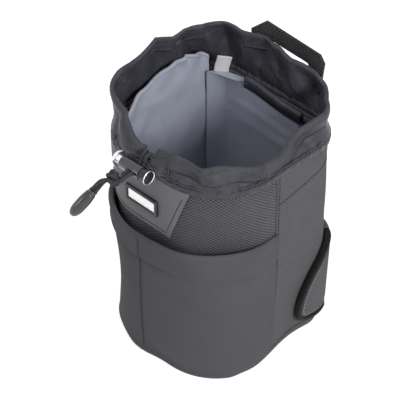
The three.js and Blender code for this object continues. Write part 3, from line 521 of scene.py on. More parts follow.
def piece(name, mesh, slot, *nodes, body="pouch", finish=None):
    """Object of one finish that stands for CAD nodes and moves with a body."""
    mesh.name = name
    thing = bpy.data.objects.new(name, mesh)
    bpy.context.scene.collection.objects.link(thing)
    mesh.materials.append(FINISH[finish or slot].material)
    if nodes:
        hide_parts(*nodes)
    if body:
        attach(thing, body)
    return thing


def thicken(thing, thickness, offset=-1.0):
    """Gives a sheet its thickness, inwards unless offset says otherwise."""
    modifier = thing.modifiers.new("Thickness", "SOLIDIFY")
    modifier.thickness = thickness * MM
    modifier.offset = offset
    return thing


def subdivide(thing):
    modifier = thing.modifiers.new("Smooth", "SUBSURF")
    modifier.levels = 1
    modifier.render_levels = 1


def curve(points, step):
    """Smooth line through points, with points about step apart."""
    points = np.asarray(points, float)
    padded = np.concatenate([[2 * points[0] - points[1]], points, [2 * points[-1] - points[-2]]])
    line = [points[:1]]
    for a, b, c, d in zip(padded, padded[1:], padded[2:], padded[3:]):
        count = max(2, int(np.linalg.norm(c - b) / step))
        t = np.arange(1, count + 1)[:, None] / count
        line.append(0.5 * (2 * b + (c - a) * t + (2 * a - 5 * b + 4 * c - d) * t ** 2
                           + (3 * b - a - 3 * c + d) * t ** 3))
    return np.concatenate(line)


def cross_directions(path):
    """Two directions across a path at each point, turning as little as possible along it."""
    along = unit(np.gradient(path, axis=0))
    sides = [unit(np.cross(along[0], (0, 0, 1) if abs(along[0][2]) < 0.9 else (1, 0, 0)))]
    for direction in along[1:]:
        sides.append(unit(sides[-1] - direction * np.dot(sides[-1], direction)))
    sides = np.array(sides)
    return sides, np.cross(along, sides)


def tube(path, radius, sides=12):
    """Round tube with closed ends along a path."""
    first, second = (direction[:, None] for direction in cross_directions(path))
    angle = np.linspace(0, TURN, sides, endpoint=False)[None, :, None]
    return closed(path[:, None] + radius * (np.cos(angle) * first + np.sin(angle) * second))


def lathe(profile, origin, axis, sides, start=0.0, sweep=TURN):
    """Turned body from (length, radius) corners along an axis; a sweep under a full turn is closed flat."""
    axis = unit(np.array(axis, float))
    first = unit(np.cross(axis, (0, 1, 0)))
    second = np.cross(axis, first)
    full = sweep == TURN
    angle = start + np.linspace(0, sweep, sides, endpoint=not full)[:, None, None]
    length, radius = np.array(profile, float).T[:, None, :, None]
    rings = np.array(origin) + axis * length + radius * (np.cos(angle) * first + np.sin(angle) * second)
    mesh = skin(rings, ring=full, loop=not full, caps=not full)
    mesh.set_sharp_from_angle(angle=math.radians(35))
    return mesh


def profile_wall(s, out, z, whole=False):
    """Body that follows the plan, with a closed outline of (out, z) at every length of s."""
    return skin(stand(s[:, None], out, z), loop=True, ring=whole, caps=not whole)


def wall_cloth(name, s, z, out, slot, node, thickness):
    """Sheet that stands over the plan, with its grain along and up the wall."""
    return thicken(piece(name, skin(stand(s[None], out, z), grid(s[None], z)), slot, node), thickness)


def resample(path, step):
    """Places spaced step apart along a path, as indices with fractions."""
    along = lengths(path)
    count = max(1, int(along[-1] / step))
    return np.interp((np.arange(count) + 0.5) * along[-1] / count, along, np.arange(len(path)))


def pick(line, where):
    """Values of a line at indices with fractions."""
    return np.stack([np.interp(where, np.arange(len(line)), column) for column in line.T], 1)


def stitches(name, lines, slot, body="pouch", finish="thread", pitch=3.2, width=0.6):
    """Rows of sewn thread. A line is a path and the direction out of the cloth at each of its points."""
    share = np.array([-1, -0.75, -0.3, 0.3, 0.75, 1])[:, None, None]
    thick = np.array([0.35, 0.85, 1, 1, 0.85, 0.35])[:, None, None] * width
    angle = np.linspace(0, TURN, 6, endpoint=False)[:, None]
    points = []
    for path, normal in lines:
        at = resample(path, pitch)
        ahead, behind = np.minimum(at + 0.4, len(path) - 1), np.maximum(at - 0.4, 0)
        direction = unit(pick(path, ahead) - pick(path, behind))
        up = unit(pick(normal, at))
        spread = pick(path, at), direction, up, np.cross(direction, up)
        middle, direction, up, side = (field[:, None, None] for field in spread)
        rings = middle + direction * share * 0.38 * pitch
        points.append(rings + up * thick * 0.7 * np.sin(angle) + side * thick * 0.5 * np.cos(angle))
    points = np.concatenate(points)
    count, rows, columns = points.shape[:3]
    i, j = np.mgrid[0:rows - 1, 0:columns]
    quads = np.stack([(i + a) * columns + (j + b) % columns for a, b in ((0, 0), (1, 0), (1, 1), (0, 1))], -1)
    ends = [list(range(columns)), list(range((rows - 1) * columns, rows * columns))[::-1]]
    one = quads.reshape(-1, 4).tolist() + ends
    faces = [[corner + k * rows * columns for corner in face] for k in range(count) for face in one]
    return piece(name, new_mesh(points, faces), slot, body=body, finish=finish)


def sewn_line(s, out, z):
    """A stitch line on a cloth that stands over the plan."""
    path = stand(s, out, z)
    return path, np.broadcast_to(outward(s), path.shape)


def back_line(x, y, z):
    """A stitch line on webbing that faces backwards."""
    path = grid(x, y, z)
    return path, np.broadcast_to((0.0, 1.0, 0.0), path.shape)


def settle(thing, frames, pins, most, **settings):
    """Runs the cloth simulation on a piece and keeps the shape that it ends in, moved by at most most."""
    modifier = thing.modifiers.new("Cloth", "CLOTH")
    cloth = modifier.settings
    thing.vertex_groups.new(name="held").add([int(i) for i in pins], 1.0, "REPLACE")
    cloth.vertex_group_mass = "held"
    for name, value in settings.items():
        setattr(cloth, name, value)
    cloth.effector_weights.gravity = 0.0
    modifier.collision_settings.use_collision = False
    modifier.point_cache.frame_end = frames
    scene = bpy.context.scene
    for number in range(1, frames + 1):
        scene.frame_set(number)
    shaped = thing.evaluated_get(bpy.context.evaluated_depsgraph_get()).to_mesh()
    rest = np.array([v.co for v in thing.data.vertices])
    moved = np.array([v.co for v in shaped.vertices]) - rest
    far = np.linalg.norm(moved, axis=1, keepdims=True)
    moved = moved * np.minimum(1, most * MM / np.maximum(far, 1e-9))
    thing.modifiers.remove(modifier)
    thing.data.vertices.foreach_set("co", (rest + moved).astype(np.float32).ravel())
    thing.data.update()
    scene.frame_set(1)


# Shell: outer cloth, base and stitched seams

SOFT_BODY = waves(5, 120, 35)
AROUND = np.linspace(-HALF_GIRTH, HALF_GIRTH, 320, endpoint=False)


def yoke(s):
    """Height of the seam across the rear cloth, which climbs towards the back."""
    return YOKE_HEIGHT + 11 * smooth((np.abs(wrap(s)) - SIDE_SEAM) / 70)


def body_out(s, z):
    """Face of the outer cloth: padding that gives a little, pinched at the side seams and the yoke seam."""
    side = np.abs(wrap(s))
    sink = 0.35 * (1 + np.clip(SOFT_BODY(s, z), -1, 1)) + 0.9 * bell(side - SIDE_SEAM, SEAM_PINCH)
    sink = sink + 0.9 * bell(z - WALL_TOP, 7) + 1.2 * hill(s, 60, 14) * bell(z - 126, 10)
    behind = smooth((side - SIDE_SEAM) / 2)
    return -sink - 0.8 * behind * bell(z - yoke(s), SEAM_PINCH)


def make_shell():
    z = np.linspace(WALL_BOTTOM, WALL_TOP, 110)[:, None]
    seam = SIDE_SEAM + GAP / 2
    front = np.linspace(GAP - seam, seam - GAP, 160)
    rear = np.linspace(seam, GIRTH - seam, 190)
    for word, s, slot in (("front", front, "dobby_weave"), ("rear", rear, "nylon_weave")):
        out = body_out(s[None], z)
        wall_cloth(f"outer_{word}_cloth", s, z, out, slot, f"outer_{word}_panel", SHELL_CLOTH)
    s = np.linspace(SIDE_SEAM + 2, GIRTH - SIDE_SEAM - 2, 160)
    level = yoke(s) - 1.6
    lines = [sewn_line(s, body_out(s, level), level)]
    up = np.linspace(WALL_BOTTOM + 2, WALL_TOP - 5, 90)
    for seam in (-SIDE_SEAM - 2.2, SIDE_SEAM + 2.2):
        lines.append(sewn_line(seam, body_out(seam, up), up))
    stitches("shell_stitching", lines, "nylon_weave")


def make_base():
    inset, height = 2.5, 6.5
    share = np.array([[1, 0], [0.62, 0.03], [0.34, 0.14], [0.17, 0.31], [0.09, 0.5], [0.03, 0.75], [0, 1]])
    out = np.r_[-24, -14, -inset * share[:, 0], -1.8, -3]
    z = np.r_[0, 0, height * share[:, 1], height, height - 2]
    piece("base_cloth", closed(stand(AROUND[None], out[:, None], z[:, None])), "nylon_weave", "base_panel")
    shape = np.array([[-12, 2.2], [-7, 2.4], [-5, 3.6], [-4.6, 6], [-5, 7.9], [-8, 8.1]])
    foam = closed(stand(AROUND[None], shape[:, :1], shape[:, 1:]))
    piece("base_padding", foam, "foam", "base_foam")
    quilt = waves(21, 45, 18)
    share = shares(30)[1:]
    dome = stand(AROUND, -9.3, 0.0)[None] * share[..., None]
    lift = 1.1 * (1 - share ** 6) * (0.8 + 0.2 * quilt(AROUND[None], share * 60))
    dome[..., 2] = box("liner_floor")[0].z + lift
    thicken(piece("floor_cloth", closed(dome), "lining", "liner_floor"), 0.8)


# Inside: wall padding, lining, loose back panel and label

LINING_OUT = -9.7
PANEL_TURN = -38


def lining_top(s):
    return WALL_TOP + 23 * hill(s, LEFT_MIDDLE - 8, 44)


def make_inside():
    angle = np.linspace(0, math.pi, 9)
    middle, half, foot = -5.7, 3.0, 9
    puckers = waves(31, 30, 9)(AROUND)[:, None]
    out = np.r_[middle + half, middle + half * np.cos(angle), middle - half][None]
    z = np.r_[foot, WALL_TOP - half + half * 1.2 * np.sin(angle), foot][None]
    z = z + 0.5 * puckers * (z > 2 * foot)
    pad = piece("wall_padding", profile_wall(AROUND, out, z, True), "foam", "wall_foam", finish="ripstop")

    s = np.linspace(-REAR_START - 13, REAR_START + 4, 270)
    share = shares(70)
    bottom = box("liner_wrap")[0].z
    wrinkles = waves(8, 60, 16)
    z = bottom + share * (lining_top(s)[None] - bottom)
    lean = 3.2 * hill(s, LEFT_MIDDLE, 40)[None] * smooth((share - 0.86) / 0.14)
    out = LINING_OUT + (0.45 + 0.6 * smooth((share - 0.7) / 0.25)) * wrinkles(s[None], z) + lean
    z = z + 0.7 * wrinkles(s[None], 100) * smooth((share - 0.9) / 0.1)
    # The lining stays inside the padding and, above it, inside the collar
    room = LINING_OUT + 0.4 + 8 * smooth((z - WALL_TOP) / 10)
    room = np.minimum(room, collar_face(s[None], np.maximum(z, BODY_HEIGHT)) - 2.6)
    out = np.minimum(out, room)
    wall_cloth("lining_wrap", s, z, out, "lining", "liner_wrap", 0.9)
    hem = 1.6 * np.stack([np.cos(angle * 2), np.sin(angle * 2)])[:, None, :-1]
    edge = np.stack([out[-1, ::2], z[-1, ::2]])[:, :, None] + hem
    piece("lining_edge", profile_wall(s[::2], *edge), "lining")
    make_back_panel()


def panel_place(x):
    """Depth and top of the loose back panel, which bends forward at its left end and is highest beside it."""
    low, high = box("liner_back_panel")
    bend = 8 * (np.maximum(0, PANEL_TURN - x) / 14) ** 1.6
    return (low.y + high.y) / 2 + 0.3 - bend, high.z - 1 + 5 * hill(x, -14, 24)


def make_back_panel():
    low, high = box("liner_back_panel")
    left, right, foot, half = -52, high.x - 1, low.z + 0.5, 1.4
    across = np.linspace(left, right, 46)
    middle, top = panel_place(across)
    z = foot + shares(84) * (top - foot)[None]
    ring = np.concatenate([grid(across, middle - half, z), grid(across, middle + half, z)[:, ::-1]], 1)
    panel = piece("back_panel_pad", closed(ring), "lining", "liner_back_panel", body=None)
    bound = np.arange(74 * ring.shape[1], ring.shape[0] * ring.shape[1])
    settle(panel, 14, bound, 2.2, use_pressure=True, uniform_pressure_force=3.5, shrink_min=0.0,
           quality=4, bending_stiffness=2.0)
    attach(panel, "pouch")
    subdivide(panel)

    run = np.linspace(-20, right, 60)
    level, edge = (field[:, None] for field in panel_place(run))
    angle = np.radians(np.linspace(-20, 200, 11))
    thick, drop = 2.0, 7
    y = np.r_[-thick, -thick * np.cos(angle), thick, 0]
    z = np.r_[-drop, thick * np.sin(angle), -drop, 1 - drop]
    piece("back_panel_binding", closed(grid(run[:, None], level + y, edge + z)), "ripstop")

    low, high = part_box("care_label")
    flat = high.x - low.x, high.z - low.z
    wide, tall = (size / MM for size in flat)
    across = np.linspace(0, wide, 10)[None]
    up = np.linspace(0, tall, 24)[:, None]
    corner, along = (-47.8, 44.4), (0.85, 0.53)
    lean = across + 3 * smooth((up - 0.6 * tall) / (0.5 * tall))
    back = 0.2 * np.sin(across / 2 + up / 8)
    x = corner[0] + along[0] * lean - along[1] * back
    y = corner[1] + along[1] * lean + along[0] * back
    label = piece("care_label_tape", skin(grid(x, y, low.z / MM + 1 + up)), "label", "care_label")
    thicken(label, 0.4, 0.0)


# Collar: gathered cloth, cord hem, seam roll and exit patch

# Corners of the gathered rim: place along it, rise over its smooth line and push outwards
RIM_CORNERS = np.array([
    (-208, -1.6, 2.0), (-190, -3.0, -1.8), (-170, -4.4, 2.2), (-155, -2.6, -2.2), (-140, -2.4, 1.8),
    (-124, 1.4, -2.2), (-110, 6.0, 1.6), (-90, -1.6, -1.0), (-76, -9.8, 1.6), (-50, -6.0, -0.5),
    (-15, -3, 1.6), (0, 1, 0.3), (20, 0.0, 0.8), (40, -6.5, -0.8), (60, -5.8, 1.4), (80, -8.4, -1.4),
    (105, -8.8, -0.6), (130, -4.4, -1.8), (150, 0.6, 0.4), (170, 0, -1.8), (190, 3.0, 2.0),
    (210, -0.8, -1.8)])


def folds(seed, count, narrow, wide):
    """Straight creases with flat cloth between them, slanting from the seam to the rim."""
    draw = np.random.default_rng(seed)
    at = draw.uniform(-HALF_GIRTH, HALF_GIRTH, count)
    lean = draw.uniform(-1.2, 1.2, count)
    half = draw.uniform(narrow, wide, count)
    rise = draw.uniform(0.4, 1, count) * draw.choice((-1, 1), count)

    def fold(s, z):
        return sum(r * np.maximum(0, 1 - np.abs(wrap(s - a - k * z)) / h)
                   for a, k, h, r in zip(at, lean, half, rise))

    return fold


FOLDS = folds(4, 40, 8, 20)


def rim_corner(s, kind):
    return np.interp(s, RIM_CORNERS[:, 0], RIM_CORNERS[:, kind], period=GIRTH)


def rim_height(s):
    """Height of the rim's smooth line, highest at the left rear and lowest at the lock."""
    rise = COLLAR_HEIGHT + 20.5 * smooth(0.35 + np.cos(bearing(s) - math.radians(140)))
    rise = rise + 5.5 * hill(s, FRONT_CORNER, 28) + 3 * hill(s, REAR_START, 22)
    return BODY_HEIGHT + rise - 7 * hill(s, LOCK.x, 20)


def rim_line(s):
    """Height of the rim with its corners."""
    return rim_height(s) + rim_corner(s, 1)


def cord_height(s):
    return rim_line(s) - CORD_DROP


def collar_out(s, z):
    """The collar's smooth face: out at the left shoulder, leaning in over the padding along the front."""
    front = 0.5 - 0.5 * np.sin(bearing(s))
    climb = np.maximum(0, (z - BODY_HEIGHT) / (rim_height(s) - BODY_HEIGHT))
    lean = 8 * front ** 2 + 7.5 * hill(s, -46, 20) + 5 * hill(s, 70, 36) + 6.5 * hill(s, 126, 28)
    return 0.6 - 1.6 * smooth(climb * 2) + (11 * hill(s, LEFT_SHOULDER, 13) - lean) * climb ** 2


def collar_face(s, z):
    """Middle of the collar's cloth, with folds that slant down from the rim's corners and end at the seam."""
    top = rim_line(s)
    climb = np.clip((z - BODY_HEIGHT) / (top - BODY_HEIGHT), 0, 1.1)
    slant = 0.35 * (top - z) * np.sin(s / 31)
    deep = smooth(climb * 1.5) * (1 + 1.1 * np.sin(math.pi * np.minimum(climb, 1)))
    crease = np.maximum(2.6 * FOLDS(s, z - BODY_HEIGHT), -1.6)
    crease = crease * smooth(climb * 2) * (1 - 0.3 * smooth(climb * 3 - 2))
    return collar_out(s, z) + rim_corner(s + slant, 2) * deep + crease


def hem_outer(below):
    """Outer face of the hem over the collar's middle, by how far a place lies below the rim."""
    return 0.23 + 2.9 * (1 - smooth((below - 2) / 9.5))


def make_collar():
    s = np.linspace(-HALF_GIRTH, HALF_GIRTH, 420, endpoint=False)
    rows, loose_rows = 30, 15
    foot = BODY_HEIGHT - 1
    z = foot + shares(rows) * (rim_line(s)[None] - HEM_HEIGHT + HEM_TUCK - foot)
    sheet = grid(np.append(s, s[0] + GIRTH)[None], np.hstack([z, z[:, :1]]))
    mesh = skin(stand(s[None], collar_face(s[None], z), z), sheet, loop=True)
    collar = piece("collar_cloth", mesh, "ripstop", "collar", body=None)
    held = np.r_[0:len(s), loose_rows * len(s):rows * len(s)]
    settle(collar, 14, held, 1.2, shrink_min=-COLLAR_SLACK, quality=6, mass=0.05,
           tension_stiffness=15.0, compression_stiffness=15.0, shear_stiffness=5.0, bending_stiffness=6.0,
           air_damping=2.0)
    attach(collar, "pouch")
    thicken(collar, COLLAR_CLOTH, 0.0)
    subdivide(collar)

    # The hem's outline runs up its inside, over the roll round the cord, down its outside and closes
    run = np.linspace(LOCK.x + HEM_OPENING / 2, LOCK.x - HEM_OPENING / 2 + GIRTH, 520)
    angle = np.radians(np.linspace(190, -10, 13))
    inside = np.array([(9.5, 0.1), (8.4, -0.2), (6.8, -0.5), (5.4, -0.75), (3.8, -0.95)])
    outside = np.array([3.6, 5.4, 7.4, 9.4, 11.5])
    below = np.r_[inside[:, 0], HEM_ROLL - HEM_ROLL * np.sin(angle), outside, 10.4]
    roll = HEM_ROLL / 2 + HEM_ROLL * np.cos(angle)
    z = rim_line(run)[:, None] - below
    out = collar_face(run[:, None], z) + np.r_[inside[:, 1], roll, hem_outer(outside), 0]
    piece("collar_hem", profile_wall(run, out, z), "ripstop", "collar_hem_channel")
    make_collar_trim()


def make_collar_trim():
    s = np.linspace(-HALF_GIRTH, HALF_GIRTH, 520, endpoint=False)
    puckers = waves(17, 9, 4.5, 10)
    low, high = (corner.z for corner in box("collar_seam_band"))
    share, groove = shares(15).T, 0.76
    roll = np.abs(np.sin(share * math.pi)) ** 0.6 - 0.55 * bell(share - groove, 0.07)
    out = GAP + 1.1 * roll * (0.85 + 0.22 * puckers(s[:, None], share * 9))
    z = low + share * (high - low) + 0.35 * puckers(s, 3)[:, None]
    column = np.ones((len(s), 1))
    out, z = np.hstack([out, -0.6 * column]), np.hstack([z, BODY_HEIGHT * column])
    piece("collar_seam_roll", profile_wall(s, out, z, True), "ripstop", "collar_seam_band")
    line = np.linspace(-HALF_GIRTH, HALF_GIRTH, 500)
    seam = sewn_line(line, 0.75, low + groove * (high - low))
    stitches("collar_stitching", [seam], "ripstop", pitch=2.8)

    s = np.linspace(LOCK.x - 5, LOCK.x + 22, 40)
    share = shares(len(s)).T
    left, right = rim_line(s[[0, -1]])
    z = left + share * (right - left) - np.linspace(15, 8, 14)[:, None]
    face = collar_face(s[None], z)
    out = 1.4 + face[:, :1] + share * (face[:, -1:] - face[:, :1]) + 1.2 * share * (1 - share)
    points = stand(s[None], out, z)
    thicken(piece("cord_exit_reinforcement", skin(points), "ripstop", "cord_exit_patch"), 0.9)
    facing = np.broadcast_to(outward(s), points.shape)
    inner = slice(2, -2)
    lines = [(points[row, inner], facing[row, inner]) for row in (2, -3)]
    lines += [(points[inner, column], facing[inner, column]) for column in (2, -3)]
    stitches("exit_stitching", lines, "ripstop", pitch=2.4, width=0.5)


# Front pocket with its elastic hem, stitched patch and bare badge

SOFT_POCKET = waves(41, 110, 40)


def pocket_top(s):
    """Height of the pocket's mouth, which rises at the front corners and sags below the patch."""
    rise = POCKET_RISE * hill(s, FRONT_CORNER, 34) + 3 * hill(s, -FRONT_CORNER, 16)
    return POCKET_HEIGHT + rise - 4 * hill(s, -18, 24)


def pocket_out(s, z):
    """Outer face of the pocket: full over the front, flaring a little to its mouth."""
    share = smooth((SIDE_SEAM - np.abs(s)) / (SIDE_SEAM - FRONT_CORNER))
    front = hill(s, 8, 46)
    foot = smooth((z - WALL_BOTTOM) / 18)
    flare = 2.4 * smooth((z - 70) / 50) * (1 - 0.5 * front - 0.9 * hill(s, -82, 26))
    out = 1.5 + foot * share * (1.3 + 3.7 * front + flare + 0.45 * SOFT_POCKET(s, z))
    out = out - 0.7 * bell(z - pocket_top(s) + POCKET_HEM_HEIGHT + 1, 3.5)
    return out - 0.6 * bell(s - POCKET_SEAM, 1.6) * (0.3 + 0.7 * foot)


def make_pocket():
    s = np.linspace(-SIDE_SEAM, SIDE_SEAM, 260)
    mouth = pocket_top(s)
    z = WALL_BOTTOM + shares(100) * (mouth - 2 - WALL_BOTTOM)[None]
    pocket = wall_cloth("pocket_cloth", s, z, pocket_out(s[None], z), "stretch_knit", "front_pocket", 1.1)

    climb = np.array([0, 0.6, 1.6, 3, 5, 9, 14, 18, 19.8])
    swell = np.array([0.0, 0.8, 1.5, 1.9, 1.9, 1.3, 1.2, 1.7, 1.6])
    angle = np.radians(np.linspace(15, 165, 9))
    face_z = (mouth - POCKET_HEM_HEIGHT)[:, None] + climb
    brim, top = pocket_out(s, mouth)[:, None], mouth[:, None] - 2
    out = np.hstack([pocket_out(s[:, None], face_z) + swell, brim - 0.7 + 1.9 * np.cos(angle),
                     brim + np.array([-2.4, -2.2, -1.0])])
    z = np.hstack([face_z, top + 2 * np.sin(angle), top - np.array([3, 9, 9])])
    piece("pocket_hem_band", profile_wall(s, out, z), "stretch_knit", "pocket_hem")

    seam = POCKET_SEAM - 1.7
    edge = pocket_top(seam) - POCKET_HEM_HEIGHT
    up = np.linspace(WALL_BOTTOM + 1, edge + 19, 120)
    line = sewn_line(seam, pocket_out(seam, up) + np.interp(up - edge, climb, swell), up)
    stitches("pocket_stitching", [line], "stretch_knit")


PATCH_LOW, PATCH_TOP = (corner.z for corner in box("front_patch"))
PATCH_CENTRE = -18
PATCH_TOP_HALF = 52
PATCH_BOTTOM_HALF = 36
PATCH_STITCH = 3.4


def patch_bottom(s, inset=0.0):
    """Height of the patch's lower edge, which climbs at both ends, or of a line set in from it."""
    low = PATCH_LOW + inset
    beyond = np.abs(s - PATCH_CENTRE) - PATCH_BOTTOM_HALF + inset * 0.95
    share = np.maximum(0, beyond / (PATCH_TOP_HALF - PATCH_BOTTOM_HALF))
    return np.minimum(PATCH_TOP - 1, low + (PATCH_TOP - low) * share)


def make_patch():
    s = PATCH_CENTRE + np.linspace(-PATCH_TOP_HALF, PATCH_TOP_HALF, 170)
    bottom = patch_bottom(s)[None]
    z = bottom + shares(60) * (PATCH_TOP + 2 - bottom)
    edge = np.minimum(z - bottom, PATCH_TOP_HALF - np.abs(s - PATCH_CENTRE)[None])
    groove = bell(z - patch_bottom(s, PATCH_STITCH)[None], 0.9)
    out = 0.9 + 0.65 * smooth(edge / 1.2) - 0.35 * groove
    wall_cloth("front_patch_leather", s, z, out, "patch", "front_patch", 0.9)
    line = PATCH_CENTRE + np.linspace(5 - PATCH_TOP_HALF, PATCH_TOP_HALF - 5, 240)
    seam = sewn_line(line, 1.3, patch_bottom(line, PATCH_STITCH))
    stitches("patch_stitching", [seam], "patch", pitch=2.9)
    make_badge()


def rounded(width, height, radius):
    """Outline of a rounded rectangle about the origin."""
    corners = []
    for quarter, (x, z) in enumerate(((1, 1), (-1, 1), (-1, -1), (1, -1))):
        angle = np.linspace(0, QUARTER, 6) + quarter * QUARTER
        centre = np.array([x * (width / 2 - radius), z * (height / 2 - radius)])
        corners.append(centre + radius * grid(np.cos(angle), np.sin(angle)))
    return np.concatenate(corners)


def make_badge():
    """Rim and plate of the badge, each from outlines set in by inset and raised by rise out of the patch."""
    low, high = box("badge_frame")
    rim = ((0, 0), (0, 1.5), (0.25, 1.9), (0.6, 2.0), (2.0, 2.0), (2.35, 1.9), (2.5, 1.5), (2.6, 0.0))
    plate = ((2.7, 0.0), (2.7, 0.9), (2.9, 1.15), (3.5, 1.2), (6.0, 1.2))
    for name, profile, full, slot, node in (("badge_rim", rim, False, "badge_black", "badge_frame"),
                                            ("badge_insert", plate, True, "badge_silver", "badge_plate")):
        rings = []
        for inset, rise in profile:
            wide, tall = high.x - low.x - 2 * inset, high.z - low.z - 2 * inset
            x, z = rounded(wide, tall, max(0.4, 1.6 - inset / 2)).T
            rings.append(grid((low.x + high.x) / 2 + x, high.y - rise, (low.z + high.z) / 2 + z))
        mesh = skin(np.array(rings), loop=True, ring=not full, caps=full)
        mesh.set_sharp_from_angle(angle=math.radians(50))
        piece(name, mesh, slot, node)


# Belt carrier, belt loop and wings

WING_BOTTOM = 13
WING_TOP = 87
WING_BINDING = 4
WING_REACH = 36.5
WING_CORNER = 14
WING_INNER = 2.5
CARRIER_TOP = box("belt_carrier")[1].z
CARRIER_IN = 0.6
CARRIER_EDGE = 1.8
CARRIER_OUT = 5.2


def bezier(*corners):
    """Smooth run of points under one or two pulls."""
    t = shares(24)
    power = len(corners) - 1
    return sum(math.comb(power, i) * t ** i * (1 - t) ** (power - i) * np.array(corner)
               for i, corner in enumerate(corners))


def inward(line):
    """Direction to the left of a flat line, at each of its points."""
    along = unit(np.gradient(line, axis=0))
    return grid(-along[:, 1], along[:, 0])


def wing_border(inset):
    """Border of a wing as reach in front of its hinge against height, from its lower to its upper root."""
    toe, front = WING_REACH - WING_CORNER, WING_BOTTOM + WING_CORNER
    line = np.concatenate([
        [(0, WING_BOTTOM)], bezier((toe, WING_BOTTOM), (WING_REACH, WING_BOTTOM), (WING_REACH, front)),
        bezier((WING_REACH, front), (WING_REACH, front + 25), (13, WING_TOP), (0, WING_TOP))[1:]])
    border = np.concatenate([line[:1], pick(line, resample(line, 1.2)), line[-1:]])
    return border + inset * inward(border)


def wing_rows(inset, margin, count):
    """Heights of rows over a wing, and their reach to its border set in by inset."""
    reach, height = wing_border(inset).T
    order = np.argsort(height, kind="stable")
    rows = np.linspace(height.min() + margin, height.max() - margin, count)
    return rows[:, None], np.interp(rows, height[order], reach[order])[:, None]


def pillow(near, roundness):
    """Rise of a pad from 0 at its edge to 1 inside, by the distance to the edge."""
    return np.sqrt(np.clip(1 - (1 - np.clip(near / roundness, 0, 1)) ** 2, 0, 1))


def make_carrier():
    end = WING_HINGE + GAP
    s = np.linspace(end, GIRTH - end, 90)
    climb = smooth((np.abs(wrap(s)) - BACK_START - 6) / 14 + 0.6)
    high = WING_TOP + (CARRIER_TOP - WING_TOP) * climb
    share = shares(60)
    z = WING_BOTTOM + share * (high - WING_BOTTOM)[None]
    rise = pillow(np.minimum(share, 1 - share) * (CARRIER_TOP - WING_BOTTOM), 6)
    quilt = 1 - 0.35 * bell(z - 116, 1.6)
    outer = CARRIER_EDGE + (CARRIER_OUT - CARRIER_EDGE) * rise * quilt + 0.25 * SOFT_BODY(s[None], z)
    out = np.concatenate([outer, np.full(z.shape, CARRIER_IN)])
    mesh = closed(stand(s[:, None], out.T, np.concatenate([z, z[::-1]]).T))
    piece("belt_carrier_pad", mesh, "carrier_face", "belt_carrier")
    line = sewn_line(s, outer[-5], z[-5])
    stitches("carrier_stitching", [[row[14:-14] for row in line]], "carrier_face")
    make_belt_loop()


def make_belt_loop():
    low, high = box("belt_loop")
    face, crown = low.y, high.y - 1.6
    path = [(face, low.z), (face, low.z + 9), (crown, low.z + 17),
            (crown, high.z - 17), (face, high.z - 9), (face, high.z)]
    step, count = 1.2, 30
    y, z = curve(path, step).T
    across = np.linspace(low.x, high.x, count)[:, None]
    edge = 0.25 * (1 - np.abs(np.linspace(-1, 1, count)) ** 8)[:, None]
    points = grid(across, np.clip(y, face, crown + 0.3) + 1.4 + edge, z)
    loop = skin(points, grid(across, np.arange(len(z)) * step))
    thicken(piece("belt_loop_webbing", loop, "webbing", "belt_loop"), 1.4, 1.0)
    x = np.linspace(low.x + 3, high.x - 3, count)
    levels = low.z + 2.5, low.z + 6.5, high.z - 2.5, high.z - 6.5
    stitches("belt_loop_stitching", [back_line(x, face + 1.7, level) for level in levels], "webbing")


def square(value):
    return np.sign(value) * np.abs(value) ** 0.7


def make_wing(word, side):
    body = f"wing_{word}"
    hinge = side * WING_HINGE
    count = 56
    z, reach = wing_rows(WING_BINDING - 0.6, 0.3, count)
    share, up = shares(34).T, shares(count)
    s = hinge - side * share * reach
    near = np.minimum(np.minimum(1 - share, 0.5) * 34, np.minimum(up, 1 - up) * 74)
    outer = 3.6 + 1.9 * pillow(near, 8)
    ring = np.concatenate([stand(s, outer, z), stand(s, WING_INNER, z)[:, ::-1]], 1)
    pad = piece(f"wing_{word}_padding", closed(ring), "carrier_face", f"wing_{word}_pad", body=None)

    border = wing_border(WING_BINDING / 2)
    angle = np.linspace(0, TURN, 14, endpoint=False)
    steps = np.arange(len(border))
    tuck = np.sqrt(np.minimum(1, 0.15 + np.minimum(steps, steps[::-1]) / 7))[:, None]
    flat = border[:, None] + inward(border)[:, None] * (2.2 * tuck * square(np.cos(angle)))[..., None]
    out = 2.6 + (0.7 + 2.7 * square(np.sin(angle))) * tuck
    ring = stand(hinge - side * flat[..., 0], out, flat[..., 1])
    binding = piece(f"wing_{word}_edge", closed(ring), "binding", f"wing_{word}_binding", body=None)

    reach, z = wing_border(WING_BINDING + 1.9)[4:-4].T
    line = sewn_line(hinge - side * reach, 5.05, z)
    rows = stitches(f"wing_{word}_stitching", [line], "carrier_face", None, "thread_pale", 3.4)
    start, end = (tuple(stand(hinge - side * far, 4, 54) * MM) for far in (-2, 6))
    for thing in (pad, binding, rows):
        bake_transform(thing)

    z, reach = wing_rows(7, 0, 40)
    root = 6
    s = hinge - side * (root + shares(24).T * np.maximum(reach - root, 0.5))
    tufts = 0.05 * SOFT_BODY(s * 9, z * 9)
    for kind, level, rider, node in (("loop", 0.75, "pouch", f"side_loop_tape_{word}"),
                                     ("hook", 1.9, body, f"wing_{word}_hook_tape")):
        tape = skin(stand(s, level + tufts, z))
        thicken(piece(f"{kind}_tape_{word}", tape, "hook_loop", node, body=rider), 0.6, 0.0)


# Grab handle

